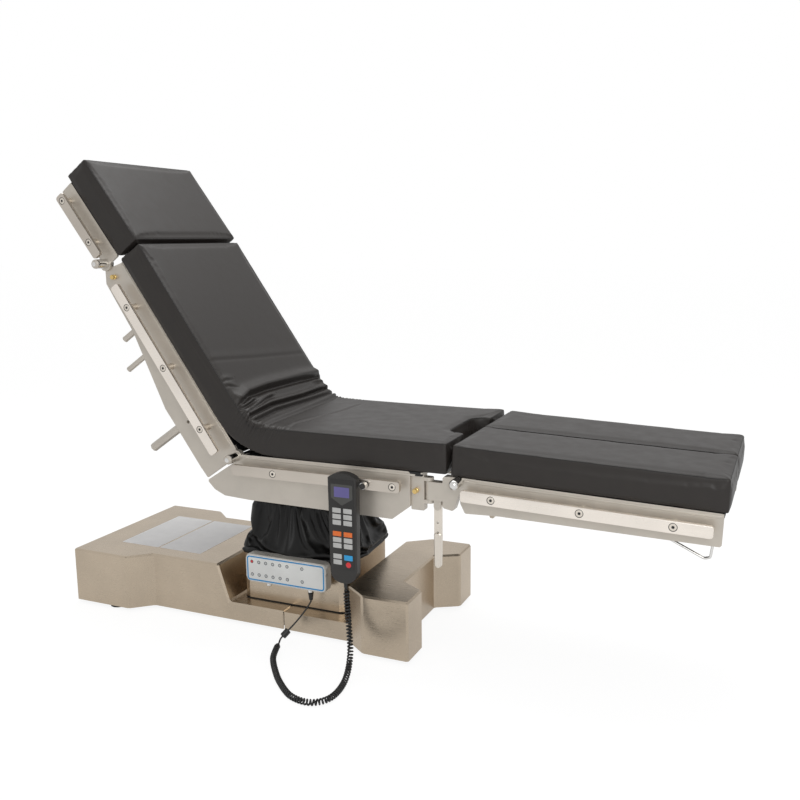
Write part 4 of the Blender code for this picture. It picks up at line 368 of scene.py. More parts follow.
# %% Finishes of the table
COVER_STEEL = brushed_metal("base_cover_steel", (0.56, 0.470, 0.365), 0.30, (0.03, 1, 1))
# Rail steel in two copies of one finish: the paler one is a painted reflection of the bright studio on the
# back and leg rails, the darker one is painted shade for the seat and head rails, which mirror darker
# surroundings.
RAIL_METAL_PAINTED_BRIGHT = brushed_metal("rail_steel", (0.95, 0.88, 0.80), 0.30, (0.03, 1, 1))
RAIL_METAL_PAINTED_SHADE = brushed_metal("rail_metal_painted_dim_reflection", (0.62, 0.565, 0.50), 0.34, (0.03, 1, 1))
LEVER_STEEL = brushed_metal("lever_steel", (0.78, 0.72, 0.64), 0.32, (1, 1, 0.04))
COLUMN_STEEL = brushed_metal("ground_column_steel", (0.60, 0.60, 0.60), 0.24, (1, 1, 0.04))
FRAME_PAINT = sprayed_paint("silver_frame_paint", (0.64, 0.59, 0.52), 0.45, 0.38)
CHASSIS_IRON = sprayed_paint("cast_chassis_paint", (0.06, 0.06, 0.065), 0.1, 0.6, 0.004, 0.0002)
CHROME = brushed_metal("polished_chrome", (0.78, 0.77, 0.75), 0.10, (1, 1, 1), 0.05, 0.00001)
BRASS = brushed_metal("turned_brass", (0.78, 0.56, 0.22), 0.22, (1, 1, 1), 0.06, 0.00001)
FOOT_RUBBER = moulded_plastic("foot_rubber", (0.025, 0.025, 0.025), 0.75)
WHEEL_RUBBER = moulded_plastic("wheel_rubber", (0.035, 0.035, 0.035), 0.65)
BOX_PAINT = sprayed_paint("control_box_paint", (0.66, 0.63, 0.58), 0.2, 0.30)
PANEL_FILM = moulded_plastic("panel_film", (0.94, 0.95, 0.93), 0.34)
BLUE_FILM = moulded_plastic("blue_border_film", (0.04, 0.31, 0.66), 0.35)
KEY_RING_INK = moulded_plastic("key_ring_ink", (0.09, 0.10, 0.11), 0.45)
KEY_DOME_FILM = moulded_plastic("key_dome_film", (0.66, 0.68, 0.68), 0.30)
RED_FILM = moulded_plastic("red_key_film", (0.86, 0.045, 0.055), 0.32)
ORANGE_FILM = moulded_plastic("orange_key_film", (0.95, 0.20, 0.035), 0.34)
LIGHT_BLUE_FILM = moulded_plastic("light_blue_key_film", (0.035, 0.42, 0.85), 0.34)
GREY_KEY_FILM = moulded_plastic("grey_key_film", (0.60, 0.60, 0.585), 0.34)
SCREEN_GLASS = moulded_plastic("screen_glass", (0.15, 0.13, 0.37), 0.16, 0.02, 0.0)
BEZEL_GLASS = moulded_plastic("bezel_glass", (0.075, 0.075, 0.070), 0.18, 0.02, 0.0)
HANDSET_PLASTIC = moulded_plastic("handset_plastic", (0.026, 0.024, 0.022), 0.40)
KEYPAD_FILM = moulded_plastic("keypad_film", (0.018, 0.017, 0.016), 0.34)
CORD_COVER = moulded_plastic("cord_cover", (0.012, 0.012, 0.012), 0.36)
BOARD_BLACK = moulded_plastic("board_laminate", (0.004, 0.004, 0.004), 0.60)
# Near-black, for the band round the foot of the column cover and for the painted shade in the rail's screw
# pockets.
BLACK_BAND_AND_POCKET_SHADE = moulded_plastic("black_band_and_painted_pocket_shade", (0.008, 0.008, 0.008), 0.60)
BLANK_LABEL = moulded_plastic("blank_label_film", (0.92, 0.91, 0.905), 0.34, 0.01, 0.0)
INNER_GREY = sprayed_paint("pump_unit_paint", (0.20, 0.21, 0.22), 0.2, 0.5)


def pad_cover(name):
    """Coated fabric: a satin charcoal face, a fine pebble, and a tone a little paler and darker in broad
    random patches.
    """
    colour = (0.0280, 0.0236, 0.0208)
    made, tree, shader = finish_of(name, colour, 0.0, 0.46)
    pebble = grain(tree, 0.0011, (1, 1, 1), 3)
    hand = grain(tree, 0.035, (1, 1, 1), 4)
    tree.links.new(shade_between(tree, spread_over(tree, hand, 0, 1), tinted(colour, 0.93),
                                 tinted(colour, 1.08)),
                   shader.inputs["Base Color"])
    tree.links.new(spread_over(tree, hand, 0.40, 0.48), shader.inputs["Roughness"])
    raise_by(tree, shader, pebble, 0.00002, raise_by(tree, shader, hand, 0.00020))
    shader.inputs["Specular IOR Level"].default_value = 0.40
    return made


PAD_COVER = pad_cover("pad_cover")
SEAM_THREAD = moulded_plastic("seam_thread", (0.016, 0.015, 0.014), 0.55)
BELLOWS_CLOTH = moulded_plastic("bellows_cloth", (0.0050, 0.0047, 0.0044), 0.38, 0.0009, 0.00003)
BELLOWS_CLOTH.node_tree.nodes["Principled BSDF"].inputs["Specular IOR Level"].default_value = 0.30
print("finishes", len(bpy.data.materials))

# %% [markdown]
# ## Finishes on the CAD solids
# A solid that is already the right shape only needs its finish, so its mesh is left as it is and one
# material is put on it.

# %% Dress the solids
def dress(look, *names):
    for name in names:
        NODES[name].data.materials.clear()
        NODES[name].data.materials.append(look)


BOTH_SIDES = (("left", 1), ("right", -1))
ENDS = ("head", "foot")
dress(COVER_STEEL, "base_head_cover", "base_middle_cover", "base_foot_cover", "column_cover")
dress(CHASSIS_IRON, "base_chassis")
dress(INNER_GREY, "pump_unit", "battery_pack")
dress(COLUMN_STEEL, "column_outer_stage", "column_middle_stage", "column_head", "tilt_cross")
dress(FRAME_PAINT, "seat_frame", "back_frame", "head_frame")
dress(CHROME, "handset_hook")
dress(CORD_COVER, "cord_plug", "cord_ferrite")
for side, _ in BOTH_SIDES:
    dress(FRAME_PAINT, "leg_frame_" + side, "leg_clevis_" + side)
    dress(LEVER_STEEL, "leg_lever_" + side)
    for end in ENDS:
        corner = end + "_" + side
        dress(FOOT_RUBBER, "brake_foot_" + corner)
        dress(CHASSIS_IRON, "castor_fork_" + corner)
        dress(WHEEL_RUBBER, "castor_wheel_" + corner)
print("dressed solids", sum(1 for node in NODES.values() if node.data.materials))

# %% [markdown]
# ## Places on the sections
# Back, head and leg sections are tilted, so their details are placed with small functions: distance
# along the section from its hinge, height over the hinge line, and place across the table.

# %% Places on the sections
PIVOT = Vector((-0.32746, 0, 0.503))
LEG_PIVOT = Vector((0.30554, 0, 0.498))
BACK_ANGLE = math.radians(55.5)
HEAD_ANGLE = math.radians(-2.0)
LEG_ANGLE = math.radians(2.0)


def on_back(s, n, y=0.0):
    """A point at distance s up the back from its hinge and n above the hinge line."""
    return PIVOT + Vector((-s * math.cos(BACK_ANGLE) + n * math.sin(BACK_ANGLE), y,
                           s * math.sin(BACK_ANGLE) + n * math.cos(BACK_ANGLE)))


def on_seat(s, n, y=0.0):
    """A point at distance s along the seat from the back's hinge and n above it."""
    return PIVOT + Vector((s, y, n))


HEAD_PIVOT = on_back(0.649, -0.043)


def on_head(s, n, y=0.0):
    turn = BACK_ANGLE + HEAD_ANGLE
    return HEAD_PIVOT + Vector((-s * math.cos(turn) + n * math.sin(turn), y,
                                s * math.sin(turn) + n * math.cos(turn)))


def on_leg(s, n, y=0.0):
    return LEG_PIVOT + Vector((s * math.cos(LEG_ANGLE) + n * math.sin(LEG_ANGLE), y,
                               -s * math.sin(LEG_ANGLE) + n * math.cos(LEG_ANGLE)))


def upright(u, v, w):
    """A place on a face that looks to the near side: along the table, up, and across."""
    return Vector((u, w, v))


print("head pivot", [round(part, 4) for part in HEAD_PIVOT])

# %% [markdown]
# ## Accessory rails
# Each section carries a 28 by 10 mm stainless rail on both sides. The bar has rounded ends and broken
# edges, stands off the frame on short spacers, and is held by countersunk socket screws. The pockets
# are cut into the bar, and the screws sit in them as turned heads with a hexagonal socket.

# %% Socket screws
SCREW_STEPS = 24


def add_screw(form, centre, axis, radius=0.0086, socket=0.0038, proud=0.0, depth=0.0035):
    """Add a screw head whose face is at the centre, with a hexagonal socket sunk into it."""
    centre, axis = Vector(centre), Vector(axis).normalized()
    side = axis.orthogonal().normalized()
    across = axis.cross(side)
    rings = []
    for hexagonal, size, height in ((False, radius, -0.003), (False, radius, proud - 0.0005),
                                    (False, radius - 0.0007, proud), (True, socket, proud),
                                    (True, socket, -depth)):
        ring = []
        for step in range(SCREW_STEPS):
            turn = math.tau * step / SCREW_STEPS
            reach = size
            if hexagonal:
                reach = size * math.cos(math.pi / 6) / math.cos(turn % (math.pi / 3) - math.pi / 6)
            ring.append(form.verts.new(centre + axis * height
                                       + (side * math.cos(turn) + across * math.sin(turn)) * reach))
        rings.append(ring)
    form.faces.new(rings[0][::-1])
    form.faces.new(rings[-1])
    for first, second in zip(rings, rings[1:]):
        for step in range(SCREW_STEPS):
            after = (step + 1) % SCREW_STEPS
            form.faces.new((first[step], first[after], second[after], second[step]))


def apply_modifiers(piece):
    """Turn a piece's modifiers into its mesh."""
    graph = bpy.context.evaluated_depsgraph_get()
    graph.update()
    old = piece.data
    piece.data = bpy.data.meshes.new_from_object(piece.evaluated_get(graph))
    piece.modifiers.clear()
    bpy.data.meshes.remove(old)
    piece.data.name = piece.name
    return piece


def add_modifier(piece, kind, **settings):
    made = piece.modifiers.new(kind.lower(), kind)
    for name, value in settings.items():
        setattr(made, name, value)
    return made


def cut_from(piece, cutter):
    """Take a solid out of a piece."""
    add_modifier(piece, "BOOLEAN", operation="DIFFERENCE", object=cutter, solver="EXACT")
    apply_modifiers(piece)
    bpy.data.objects.remove(cutter)
    piece.data.shade_smooth()
    piece.data.set_sharp_from_angle(angle=math.radians(35))
    return piece


# %% Rails
RAIL_IN, RAIL_OUT, RAIL_HALF = 0.2564, 0.2664, 0.014
RAIL_CORNER = 0.0065
POCKET_RADIUS, POCKET_DEPTH = 0.0098, 0.0010


def side_rail(node, place, start, end, height, shares, sign, plate_out, look, body):
    """A rail in place of its node, with pockets at the given shares of its length, and its screws."""
    def beside(u, v, w):
        return place(u, v, sign * w)

    corners = [(start, height - RAIL_HALF), (end, height - RAIL_HALF), (end, height + RAIL_HALF),
               (start, height + RAIL_HALF)]
    bar = plate_piece(node + "_bar", round_corners(corners, RAIL_CORNER), RAIL_IN, RAIL_OUT, beside, look,
                      0.0009, 2)
    pockets, screws, shadows = bmesh.new(), bmesh.new(), bmesh.new()
    axis = Vector((0, sign, 0))
    for share in shares:
        along = start + (end - start) * share
        pocket = [(0, -POCKET_DEPTH), (POCKET_RADIUS, -POCKET_DEPTH), (POCKET_RADIUS, 0.002), (0, 0.002)]
        add_turned(pockets, pocket, beside(along, height, RAIL_OUT), axis, 24)
        add_screw(screws, beside(along, height, RAIL_OUT), axis, proud=-0.0001)
        # A black disc under each screw head fills the ring between screw and pocket wall: painted shade in
        # the pocket.
        pocket_shade_disc = [(0, -0.0012), (0.0097, -0.0012), (0.0097, -0.0004), (0, -0.0004)]
        add_turned(shadows, pocket_shade_disc, beside(along, height, RAIL_OUT), axis, 24)
        spacer = [(0, 0), (0.0088, 0), (0.0088, RAIL_IN - plate_out + 0.002),
                  (0, RAIL_IN - plate_out + 0.002)]
        add_turned(screws, spacer, beside(along, height, plate_out), axis, 24)
    cut_from(bar, piece_from("pockets", pockets, look))
    set_out(bar, body, "rail_steel", node)
    set_out(piece_from(node + "_screws", screws, LEVER_STEEL), body, "rail_steel")
    set_out(piece_from(node + "_painted_pocket_shade", shadows, BLACK_BAND_AND_POCKET_SHADE), body, "foot_rubber")
    return bar


def on_side(name, side):
    """The name of a body or node that exists once a side, or the name itself."""
    return name + side if name.endswith("_") else name


SEAT_PLATE_FACE, BACK_PLATE_FACE = 0.2362, 0.2288
# Node, place, start, end, height, shares of the length with a screw, face of the plate behind, finish, body
RAILS = (
    ("seat_rail_", on_seat, 0.004, 0.490, -0.028, (0.260, 0.637, 0.960), SEAT_PLATE_FACE, RAIL_METAL_PAINTED_SHADE,
     "seat"),
    ("back_rail_", on_back, 0.036, 0.572, -0.034, (0.143, 0.505, 0.868), BACK_PLATE_FACE, RAIL_METAL_PAINTED_BRIGHT,
     "back"),
    ("head_rail_", on_head, 0.0155, 0.221, 0.014, (0.229, 0.909), SEAT_PLATE_FACE, RAIL_METAL_PAINTED_SHADE, "head"),
    ("leg_rail_", on_leg, 0.015, 0.586, -0.026, (0.133, 0.4975, 0.8545), SEAT_PLATE_FACE, RAIL_METAL_PAINTED_BRIGHT,
     "leg_"),
)
for side, sign in BOTH_SIDES:
    for node, place, start, end, height, shares, face, look, body in RAILS:
        side_rail(node + side, place, start, end, height, shares, sign, face, look, on_side(body, side))
print("rails", 8)

# %% [markdown]
# ## Boards under the pads
# The pads lie on thin black laminate boards that X-rays pass through. Only their edges show, as the
# dark line between each pad and the bright folded flange along the top of its frame. A small cheek on
# each side closes most of the notch between the lower end of the back plate and the seat plate.

# %% Boards
def board(name, place, start, end, low, high, near, far, body):
    outline = round_corners([(start, near), (end, near), (end, far), (start, far)], 0.004, 4)
    piece = plate_piece(name, outline, low, high, lambda u, v, w: place(u, w, v), BOARD_BLACK, 0.0008, 2)
    return set_out(piece, body, "dark_plastic")


LOW, HIGH = -0.0022, 0.0081
HEAD_RISE, LEG_RISE = 0.0430, 0.0022
OUTER_HALF, BACK_HALF, HINGE_HALF, LEG_INNER = 0.2360, 0.2286, 0.2180, 0.0295
board("seat_board", on_seat, 0.030, 0.538, LOW, HIGH, -OUTER_HALF, OUTER_HALF, "seat")
board("back_board", on_back, 0.030, 0.624, LOW, HIGH, -BACK_HALF, BACK_HALF, "back")
board("seat_hinge_board", on_seat, 0.0066, 0.0295, LOW, HIGH, -HINGE_HALF, HINGE_HALF, "seat")
board("back_hinge_board", on_back, 0.0066, 0.0295, LOW, HIGH, -HINGE_HALF, HINGE_HALF, "back")
board("head_board", on_head, 0.012, 0.239, LOW + HEAD_RISE, HIGH + HEAD_RISE, -OUTER_HALF, OUTER_HALF,
      "head")
board("leg_board_left", on_leg, 0.042, 0.604, 0.0002, HIGH + LEG_RISE, LEG_INNER, OUTER_HALF, "leg_left")
board("leg_board_right", on_leg, 0.042, 0.604, 0.0002, HIGH + LEG_RISE, -OUTER_HALF, -LEG_INNER,
      "leg_right")


def flange(name, place, start, end, low, high, out, body):
    """The folded top edge of a side plate, which stands a little proud of the board over it."""
    for side, sign in BOTH_SIDES:
        near, far = sorted((sign * (out - 0.004), sign * out))
        outline = round_corners([(start, near), (end, near), (end, far), (start, far)], 0.0010, 3)
        strip = plate_piece(name + "_" + side, outline, low, high, lambda u, v, w: place(u, w, v),
                            FRAME_PAINT, 0.0006, 2)
        set_out(strip, on_side(body, side), "frame_paint")


flange("seat_flange", on_seat, 0.030, 0.520, -0.0030, 0.0026, 0.2376, "seat")
flange("back_flange", on_back, 0.030, 0.620, -0.0030, 0.0026, 0.2302, "back")
flange("leg_flange", on_leg, 0.014, 0.602, -0.0006, 0.0048, 0.2376, "leg_")
for side, sign in BOTH_SIDES:
    cheek = plate_piece("back_cheek_" + side, [(0.0, -0.0150), (0.0275, -0.1232), (0.0, -0.1215)],
                        0.2209, 0.2283, lambda u, v, w: on_back(u, v, sign * w), FRAME_PAINT)
    set_out(cheek, "back", "frame_paint")

# %% [markdown]
# ## Hinge caps, lock plungers and the wire loops
# Chromed domes close the ends of the hinge pins. Beside them small turned brass plungers lock the head
# and leg sections, and a bent steel rod under each leg section's foot end takes a strap.

# %% Hinge caps
def dome_profile(radius, start, tip, collar=0.004):
    """A capped pin: a straight collar that ends in a dome."""
    rise = min(radius, tip - start - collar)
    profile = [(0, start), (radius, start), (radius, tip - rise)]
    for step in range(1, 8):
        turn = math.pi / 2 * step / 8
        profile.append((radius * math.cos(turn), tip - rise + rise * math.sin(turn)))
    return profile + [(0, tip)]


for side, sign in BOTH_SIDES:
    for name, place, body in (("back", on_back, "back"), ("head", on_head, "head"),
                              ("leg", on_leg, "leg_")):
        cap = turned_piece(name + "_hinge_cap_" + side, dome_profile(0.0129, 0.2370, 0.2813), place(0, 0),
                           (0, sign, 0),
                           CHROME)
        set_out(cap, on_side(body, side), "chrome")

# %% Brass plungers
KNOB_PROFILE = ((0, -0.007), (0.0040, -0.007), (0.0040, 0.0004), (0.0062, 0.0004), (0.0068, 0.0010),
                (0.0068, 0.0036),
                (0.0060, 0.0044), (0.0046, 0.0050), (0.0046, 0.0064), (0.0060, 0.0072), (0.0066, 0.0082),
                (0.0066, 0.0118), (0.0058, 0.0130), (0.0, 0.0133))
for side, sign in BOTH_SIDES:
    for node, centre in (("leg_plunger_" + side, (0.19254, sign * 0.2288, 0.463)),
                         ("head_plunger_" + side, on_back(0.605, -0.043, sign * 0.2288))):
        knob = turned_piece(node + "_knob", KNOB_PROFILE, centre, (0, sign, 0), BRASS)
        set_out(knob, node, "brass", node)

# %% Wire loops
LOOP_Y, LOOP_RADIUS, LOOP_BEND = 0.150, 0.0033, 0.004
LOOP_CORNERS = ((0.374, 0.0065), (0.422, -0.064), (0.564, -0.125), (0.577, -0.121), (0.590, 0.003))
for side, sign in BOTH_SIDES:
    bends = []
    for index, (s, n) in enumerate(LOOP_CORNERS):
        here = on_leg(s, n, sign * LOOP_Y)
        if index in (0, len(LOOP_CORNERS) - 1):
            bends.append(here)
            continue
        before = on_leg(*LOOP_CORNERS[index - 1], sign * LOOP_Y)
        after = on_leg(*LOOP_CORNERS[index + 1], sign * LOOP_Y)
        first = here + (before - here).normalized() * LOOP_BEND
        last = here + (after - here).normalized() * LOOP_BEND
        bends += [first.lerp(here, t).lerp(here.lerp(last, t), t) for t in (0, 0.33, 0.67, 1)]
    form = bmesh.new()
    add_tube(form, bends, LOOP_RADIUS, 12)
    set_out(piece_from("wire_loop_" + side, form, CHROME), "leg_" + side, "chrome")
print("caps 6, plungers 4, loops 2")

# %% [markdown]
# ## Small parts of the base
# Two pale plain labels lie on the head end cover. A thin black band runs round the foot of the column
# cover and shows as a black line in the recess.

# %% Bare labels and column foot band
def lying(u, v, w):
    return Vector((u, v, w))


for name, start, end in (("first", -0.823, -0.687), ("second", -0.681, -0.535)):
    corners = [(start, -0.138), (end, -0.138), (end, 0.140), (start, 0.140)]
    label = plate_piece("blank_label_" + name, round_corners(corners, 0.003), 0.1698, 0.1704, lying,
                        BLANK_LABEL, 0.0002, 1)
    set_out(label, "base", "panel_film")

COLUMN_X = -0.22121


def around_column(half_x, half_y, corner):
    return round_corners([(COLUMN_X - half_x, -half_y), (COLUMN_X + half_x, -half_y),
                          (COLUMN_X + half_x, half_y),
                          (COLUMN_X - half_x, half_y)], corner)


column_foot_band = plate_piece("column_foot_black_band", around_column(0.1650, 0.1412, 0.0212), 0.0619, 0.0650, lying,
                     BLACK_BAND_AND_POCKET_SHADE,
                     inner=around_column(0.1634, 0.1396, 0.0196))
set_out(column_foot_band, "base", "foot_rubber")

# %% [markdown]
# ## Control box
# The box on the column cover is a small painted casting with soft corners. Its face is a printed film:
# a pale field with a blue border and fourteen round keys, each a domed membrane in a dark ring.

# %% Case and sockets
BOX_X = (-0.34346, -0.09046)
BOX_Z = (0.135, 0.215)
BOX_FACE, BOX_BACK = -0.187, -0.158


def box_outline(inset, corner):
    low_x, high_x = BOX_X[0] + inset, BOX_X[1] - inset
    low_z, high_z = BOX_Z[0] + inset, BOX_Z[1] - inset
    return round_corners([(low_x, low_z), (high_x, low_z), (high_x, high_z), (low_x, high_z)], corner)


form = bmesh.new()
add_plate(form, box_outline(0, 0.013), BOX_BACK, BOX_FACE, upright, 0.0030, 4)
neck = round_corners([(-0.325, 0.142), (-0.109, 0.142), (-0.109, 0.190), (-0.325, 0.190)], 0.006)
add_plate(form, neck, BOX_BACK - 0.002, -0.1403, upright)
set_out(piece_from("control_box_case", form, BOX_PAINT), "base", "box_paint", "control_box")

SOCKET_PROFILE = ((0, 0.004), (0.0095, 0.004), (0.0095, -0.001), (0.0088, -0.0018), (0.0088, -0.0040),
                  (0.0080, -0.0046),
                  (0.0080, -0.0090), (0.0070, -0.0100), (0.0, -0.0100))
form = bmesh.new()
for x in (-0.27846, -0.14646):
    add_turned(form, SOCKET_PROFILE, (x, -0.1725, BOX_Z[0]), (0, 0, 1))
set_out(piece_from("control_box_sockets", form, CHROME), "base", "chrome")
print("control box", [round(part, 3) for part in BOX_X])

# %% Key panel
PANEL_FACE = -0.1886
set_out(plate_piece("key_panel_film", box_outline(0.0030, 0.0105), BOX_FACE + 0.001, PANEL_FACE, upright,
                    PANEL_FILM, 0.0005, 2),
        "base", "panel_film", "control_panel")
set_out(plate_piece("key_panel_border", box_outline(0.0048, 0.0090), PANEL_FACE + 0.0004,
                    PANEL_FACE - 0.00025, upright,
                    BLUE_FILM, inner=box_outline(0.0086, 0.0054)), "base", "panel_film")
KEY_COLUMNS = (0.082, 0.170, 0.2586, 0.347, 0.437, 0.528, 0.712)
KEY_ROWS = (0.194, 0.157)
rings, domes, power = bmesh.new(), bmesh.new(), bmesh.new()
for column, share in enumerate(KEY_COLUMNS):
    for row, z in enumerate(KEY_ROWS):
        centre = (BOX_X[0] + share * (BOX_X[1] - BOX_X[0]), PANEL_FACE, z)
        ring = ((0, -0.0004), (0.0048, -0.0004), (0.0048, 0.0003), (0.0044, 0.0006), (0.0035, 0.0006),
                (0.0034, 0.0002),
                (0, 0.0002))
        add_turned(rings, ring, centre, (0, -1, 0), 28)
        dome = ((0, -0.0003), (0.0033, -0.0003), (0.0033, 0.0004), (0.0024, 0.0009), (0.0012, 0.0012),
                (0, 0.0013))
        add_turned(power if (column, row) == (0, 0) else domes, dome, centre, (0, -1, 0), 28)
for name, form, look in (("panel_key_rings", rings, KEY_RING_INK),
                         ("panel_key_domes", domes, KEY_DOME_FILM),
                         ("panel_power_key", power, RED_FILM)):
    set_out(piece_from(name, form, look), "base", "panel_film")
print("keys on the box", len(KEY_COLUMNS) * len(KEY_ROWS))

# %% [markdown]
# ## Hand control
# The hand control hangs from the seat rail by a hook with a black clamp knob. Its case is one long
# moulding with an arched top and a round lower end. A film with raised keys and a small window lies in
# its face.

# %% Case of the hand control
HANDSET_X = 0.02054
HANDSET_Z = (0.2205, 0.506)
HANDSET_FACE, HANDSET_REAR = -0.2950, -0.2737


def handset_outline(inset):
    """The hand control's face: an arch above, slightly tapered sides and a round lower end."""
    top_half, low_half = 0.040 - inset, 0.0362 - inset
    low, top = HANDSET_Z[0] + inset, HANDSET_Z[1] - inset
    arch = 0.014
    outline = round_corners([(HANDSET_X - top_half, top - arch), (HANDSET_X - low_half, low),
                             (HANDSET_X + low_half, low),
                             (HANDSET_X + top_half, top - arch)], (0, 0.031 - inset, 0.031 - inset, 0), 12)
    radius = (arch ** 2 + top_half ** 2) / (2 * arch)
    half_turn = math.asin(top_half / radius)
    for step in range(1, 16):
        turn = half_turn - 2 * half_turn * step / 16
        outline.append((HANDSET_X + radius * math.sin(turn), top - radius + radius * math.cos(turn)))
    return outline


case = plate_piece("hand_control_case", handset_outline(0), HANDSET_REAR, HANDSET_FACE - 0.0015, upright,
                   HANDSET_PLASTIC,
                   0.0034, 4)
set_out(case, "handset", "dark_plastic", "handset_body")
low_x, high_x = HANDSET_X - 0.0322, HANDSET_X + 0.0322
film_corners = [(low_x + 0.001, 0.2560), (high_x - 0.001, 0.2560), (high_x + 0.0016, 0.4900),
                (low_x - 0.0016, 0.4900)]
film = plate_piece("hand_control_film", round_corners(film_corners, 0.004), HANDSET_FACE,
                   HANDSET_FACE - 0.0019, upright,
                   KEYPAD_FILM, 0.0003, 2)
set_out(film, "handset", "keypad_plastic", "handset_keypad")

# %% Window and keys of the hand control
FILM_FACE = HANDSET_FACE - 0.0019
bezel_corners = [(HANDSET_X - 0.0300, 0.4775), (HANDSET_X - 0.0300, 0.4420), (HANDSET_X, 0.4235),
                 (HANDSET_X + 0.0300, 0.4420), (HANDSET_X + 0.0300, 0.4775)]
set_out(plate_piece("window_bezel", round_corners(bezel_corners, 0.003), FILM_FACE + 0.0003,
                    FILM_FACE - 0.0007, upright,
                    BEZEL_GLASS, 0.0003, 2), "handset", "keypad_plastic")
window_corners = [(HANDSET_X - 0.0210, 0.4445), (HANDSET_X + 0.0210, 0.4445), (HANDSET_X + 0.0210, 0.4705),
                  (HANDSET_X - 0.0210, 0.4705)]
set_out(plate_piece("window_glass", round_corners(window_corners, 0.0012), FILM_FACE, FILM_FACE - 0.0009,
                    upright,
                    SCREEN_GLASS), "handset", "keypad_plastic")

KEY_LEFT, KEY_RIGHT = HANDSET_X - 0.0152, HANDSET_X + 0.0152
grey_keys = [(x, z) for z in (0.4100, 0.3942, 0.3787, 0.3337, 0.3185) for x in (KEY_LEFT, KEY_RIGHT)]
grey_keys += [(KEY_LEFT, 0.2905), (KEY_LEFT, 0.2752)]
orange_keys = [(KEY_LEFT, 0.3495), (KEY_RIGHT, 0.3495)]
blue_keys = [(KEY_RIGHT, 0.2890)]


def key_plates(name, centres, look, half_height=0.0062):
    form = bmesh.new()
    for x, z in centres:
        corners = [(x - 0.0118, z - half_height), (x + 0.0118, z - half_height),
                   (x + 0.0118, z + half_height),
                   (x - 0.0118, z + half_height)]
        add_plate(form, round_corners(corners, 0.0012, 4), FILM_FACE + 0.0003, FILM_FACE - 0.0008, upright,
                  0.0003, 2)
    return set_out(piece_from(name, form, look), "handset", "keypad_plastic")


key_plates("hand_control_grey_keys", grey_keys, GREY_KEY_FILM)
key_plates("hand_control_orange_keys", orange_keys, ORANGE_FILM)
key_plates("hand_control_blue_key", blue_keys, LIGHT_BLUE_FILM, 0.0068)
red_profile = ((0, -0.0003), (0.0072, -0.0003), (0.0072, 0.0005), (0.0066, 0.0009), (0, 0.0010))
red_key = turned_piece("hand_control_red_key", red_profile, (HANDSET_X + 0.0150, FILM_FACE, 0.2705),
                       (0, -1, 0), RED_FILM)
set_out(red_key, "handset", "keypad_plastic")
print("keys on the hand control", len(grey_keys) + len(orange_keys) + len(blue_keys) + 1)

# %% Clamp knob and sleeve of the hand control
form = bmesh.new()
KNOB_CENTRE = Vector((HANDSET_X + 0.0515, -0.2640, 0.475))
KNOB_RADIUS, KNOB_FLUTES, FLUTE_DEPTH, KNOB_STEPS = 0.0066, 9, 0.0006, 72
knob_outline = []
for step in range(KNOB_STEPS):
    turn = math.tau * step / KNOB_STEPS
    reach = KNOB_RADIUS + FLUTE_DEPTH * math.cos(KNOB_FLUTES * turn)
    knob_outline.append((KNOB_CENTRE.x + reach * math.cos(turn), KNOB_CENTRE.z + reach * math.sin(turn)))
add_plate(form, knob_outline, -0.2640, -0.2872, upright, 0.0016, 3)
set_out(piece_from("clamp_knob", form, HANDSET_PLASTIC), "handset", "dark_plastic")
sleeve = ((0, 0.004), (0.0062, 0.004), (0.0062, -0.002), (0.0050, -0.006), (0.0046, -0.014),
          (0.0038, -0.0178), (0, -0.0178))
set_out(turned_piece("cord_sleeve", sleeve, (HANDSET_X, -0.2851, HANDSET_Z[0]), (0, 0, 1), CORD_COVER),
        "handset",
        "cord_cover")

# %% [markdown]
# ## Cord of the hand control
# The cord leaves the socket under the control box, runs straight down to a ferrite bead, then lies on
# the floor as a curly cord and climbs to the hand control. It is one wire: the curls are a helix
# about the same route that the CAD solids follow. The wire is a mesh tube.

# %% Route of the cord
SHIFT = Vector((-0.37346, 0, 0))
WIRE_RADIUS = 0.0024
CURL_RADIUS = 0.0084
CURLS = 88
CURL_POINTS = 12
LEAD_ROUTE = ((0.2270, -0.1725, 0.1025), (0.2265, -0.1727, 0.0990), (0.2255, -0.1735, 0.096),
              (0.219, -0.184, 0.081),
              (0.210, -0.200, 0.064), (0.2000, -0.2180, 0.0480), (0.1930, -0.2310, 0.0380),
              (0.1860, -0.2440, 0.0280),
              (0.1790, -0.2570, 0.0180), (0.1800, -0.2680, 0.0110))
CURL_ROUTE = ((0.1835, -0.2780, 0.0100), (0.192, -0.304, 0.0100), (0.214, -0.354, 0.0100),
              (0.255, -0.410, 0.0100),
              (0.300, -0.460, 0.0100), (0.358, -0.506, 0.0100), (0.415, -0.513, 0.0100),
              (0.447, -0.473, 0.0100),
              (0.440, -0.390, 0.0105), (0.420, -0.320, 0.0400), (0.403, -0.290, 0.1000),
              (0.3960, -0.285, 0.1700),
              (0.3950, -0.285, 0.2020))
CORD_END = Vector((0.394, -0.2842, 0.2200)) + SHIFT


def wound(path, count, radius):
    """A helix about a path that grows out of it and back into it at its ends."""
    steps = count * CURL_POINTS
    spots, length = spaced(path, steps)
    side = None
    helix = []
    for index, spot in enumerate(spots):
        along = (spots[min(index + 1, steps)] - spots[max(index - 1, 0)]).normalized()
        side = square_to(along, side)
        turn = math.tau * index / CURL_POINTS
        grow = min(1, min(index, steps - index) / CURL_POINTS)
        helix.append(spot + (side * math.cos(turn) + along.cross(side) * math.sin(turn)) * radius * grow)
    return helix, length


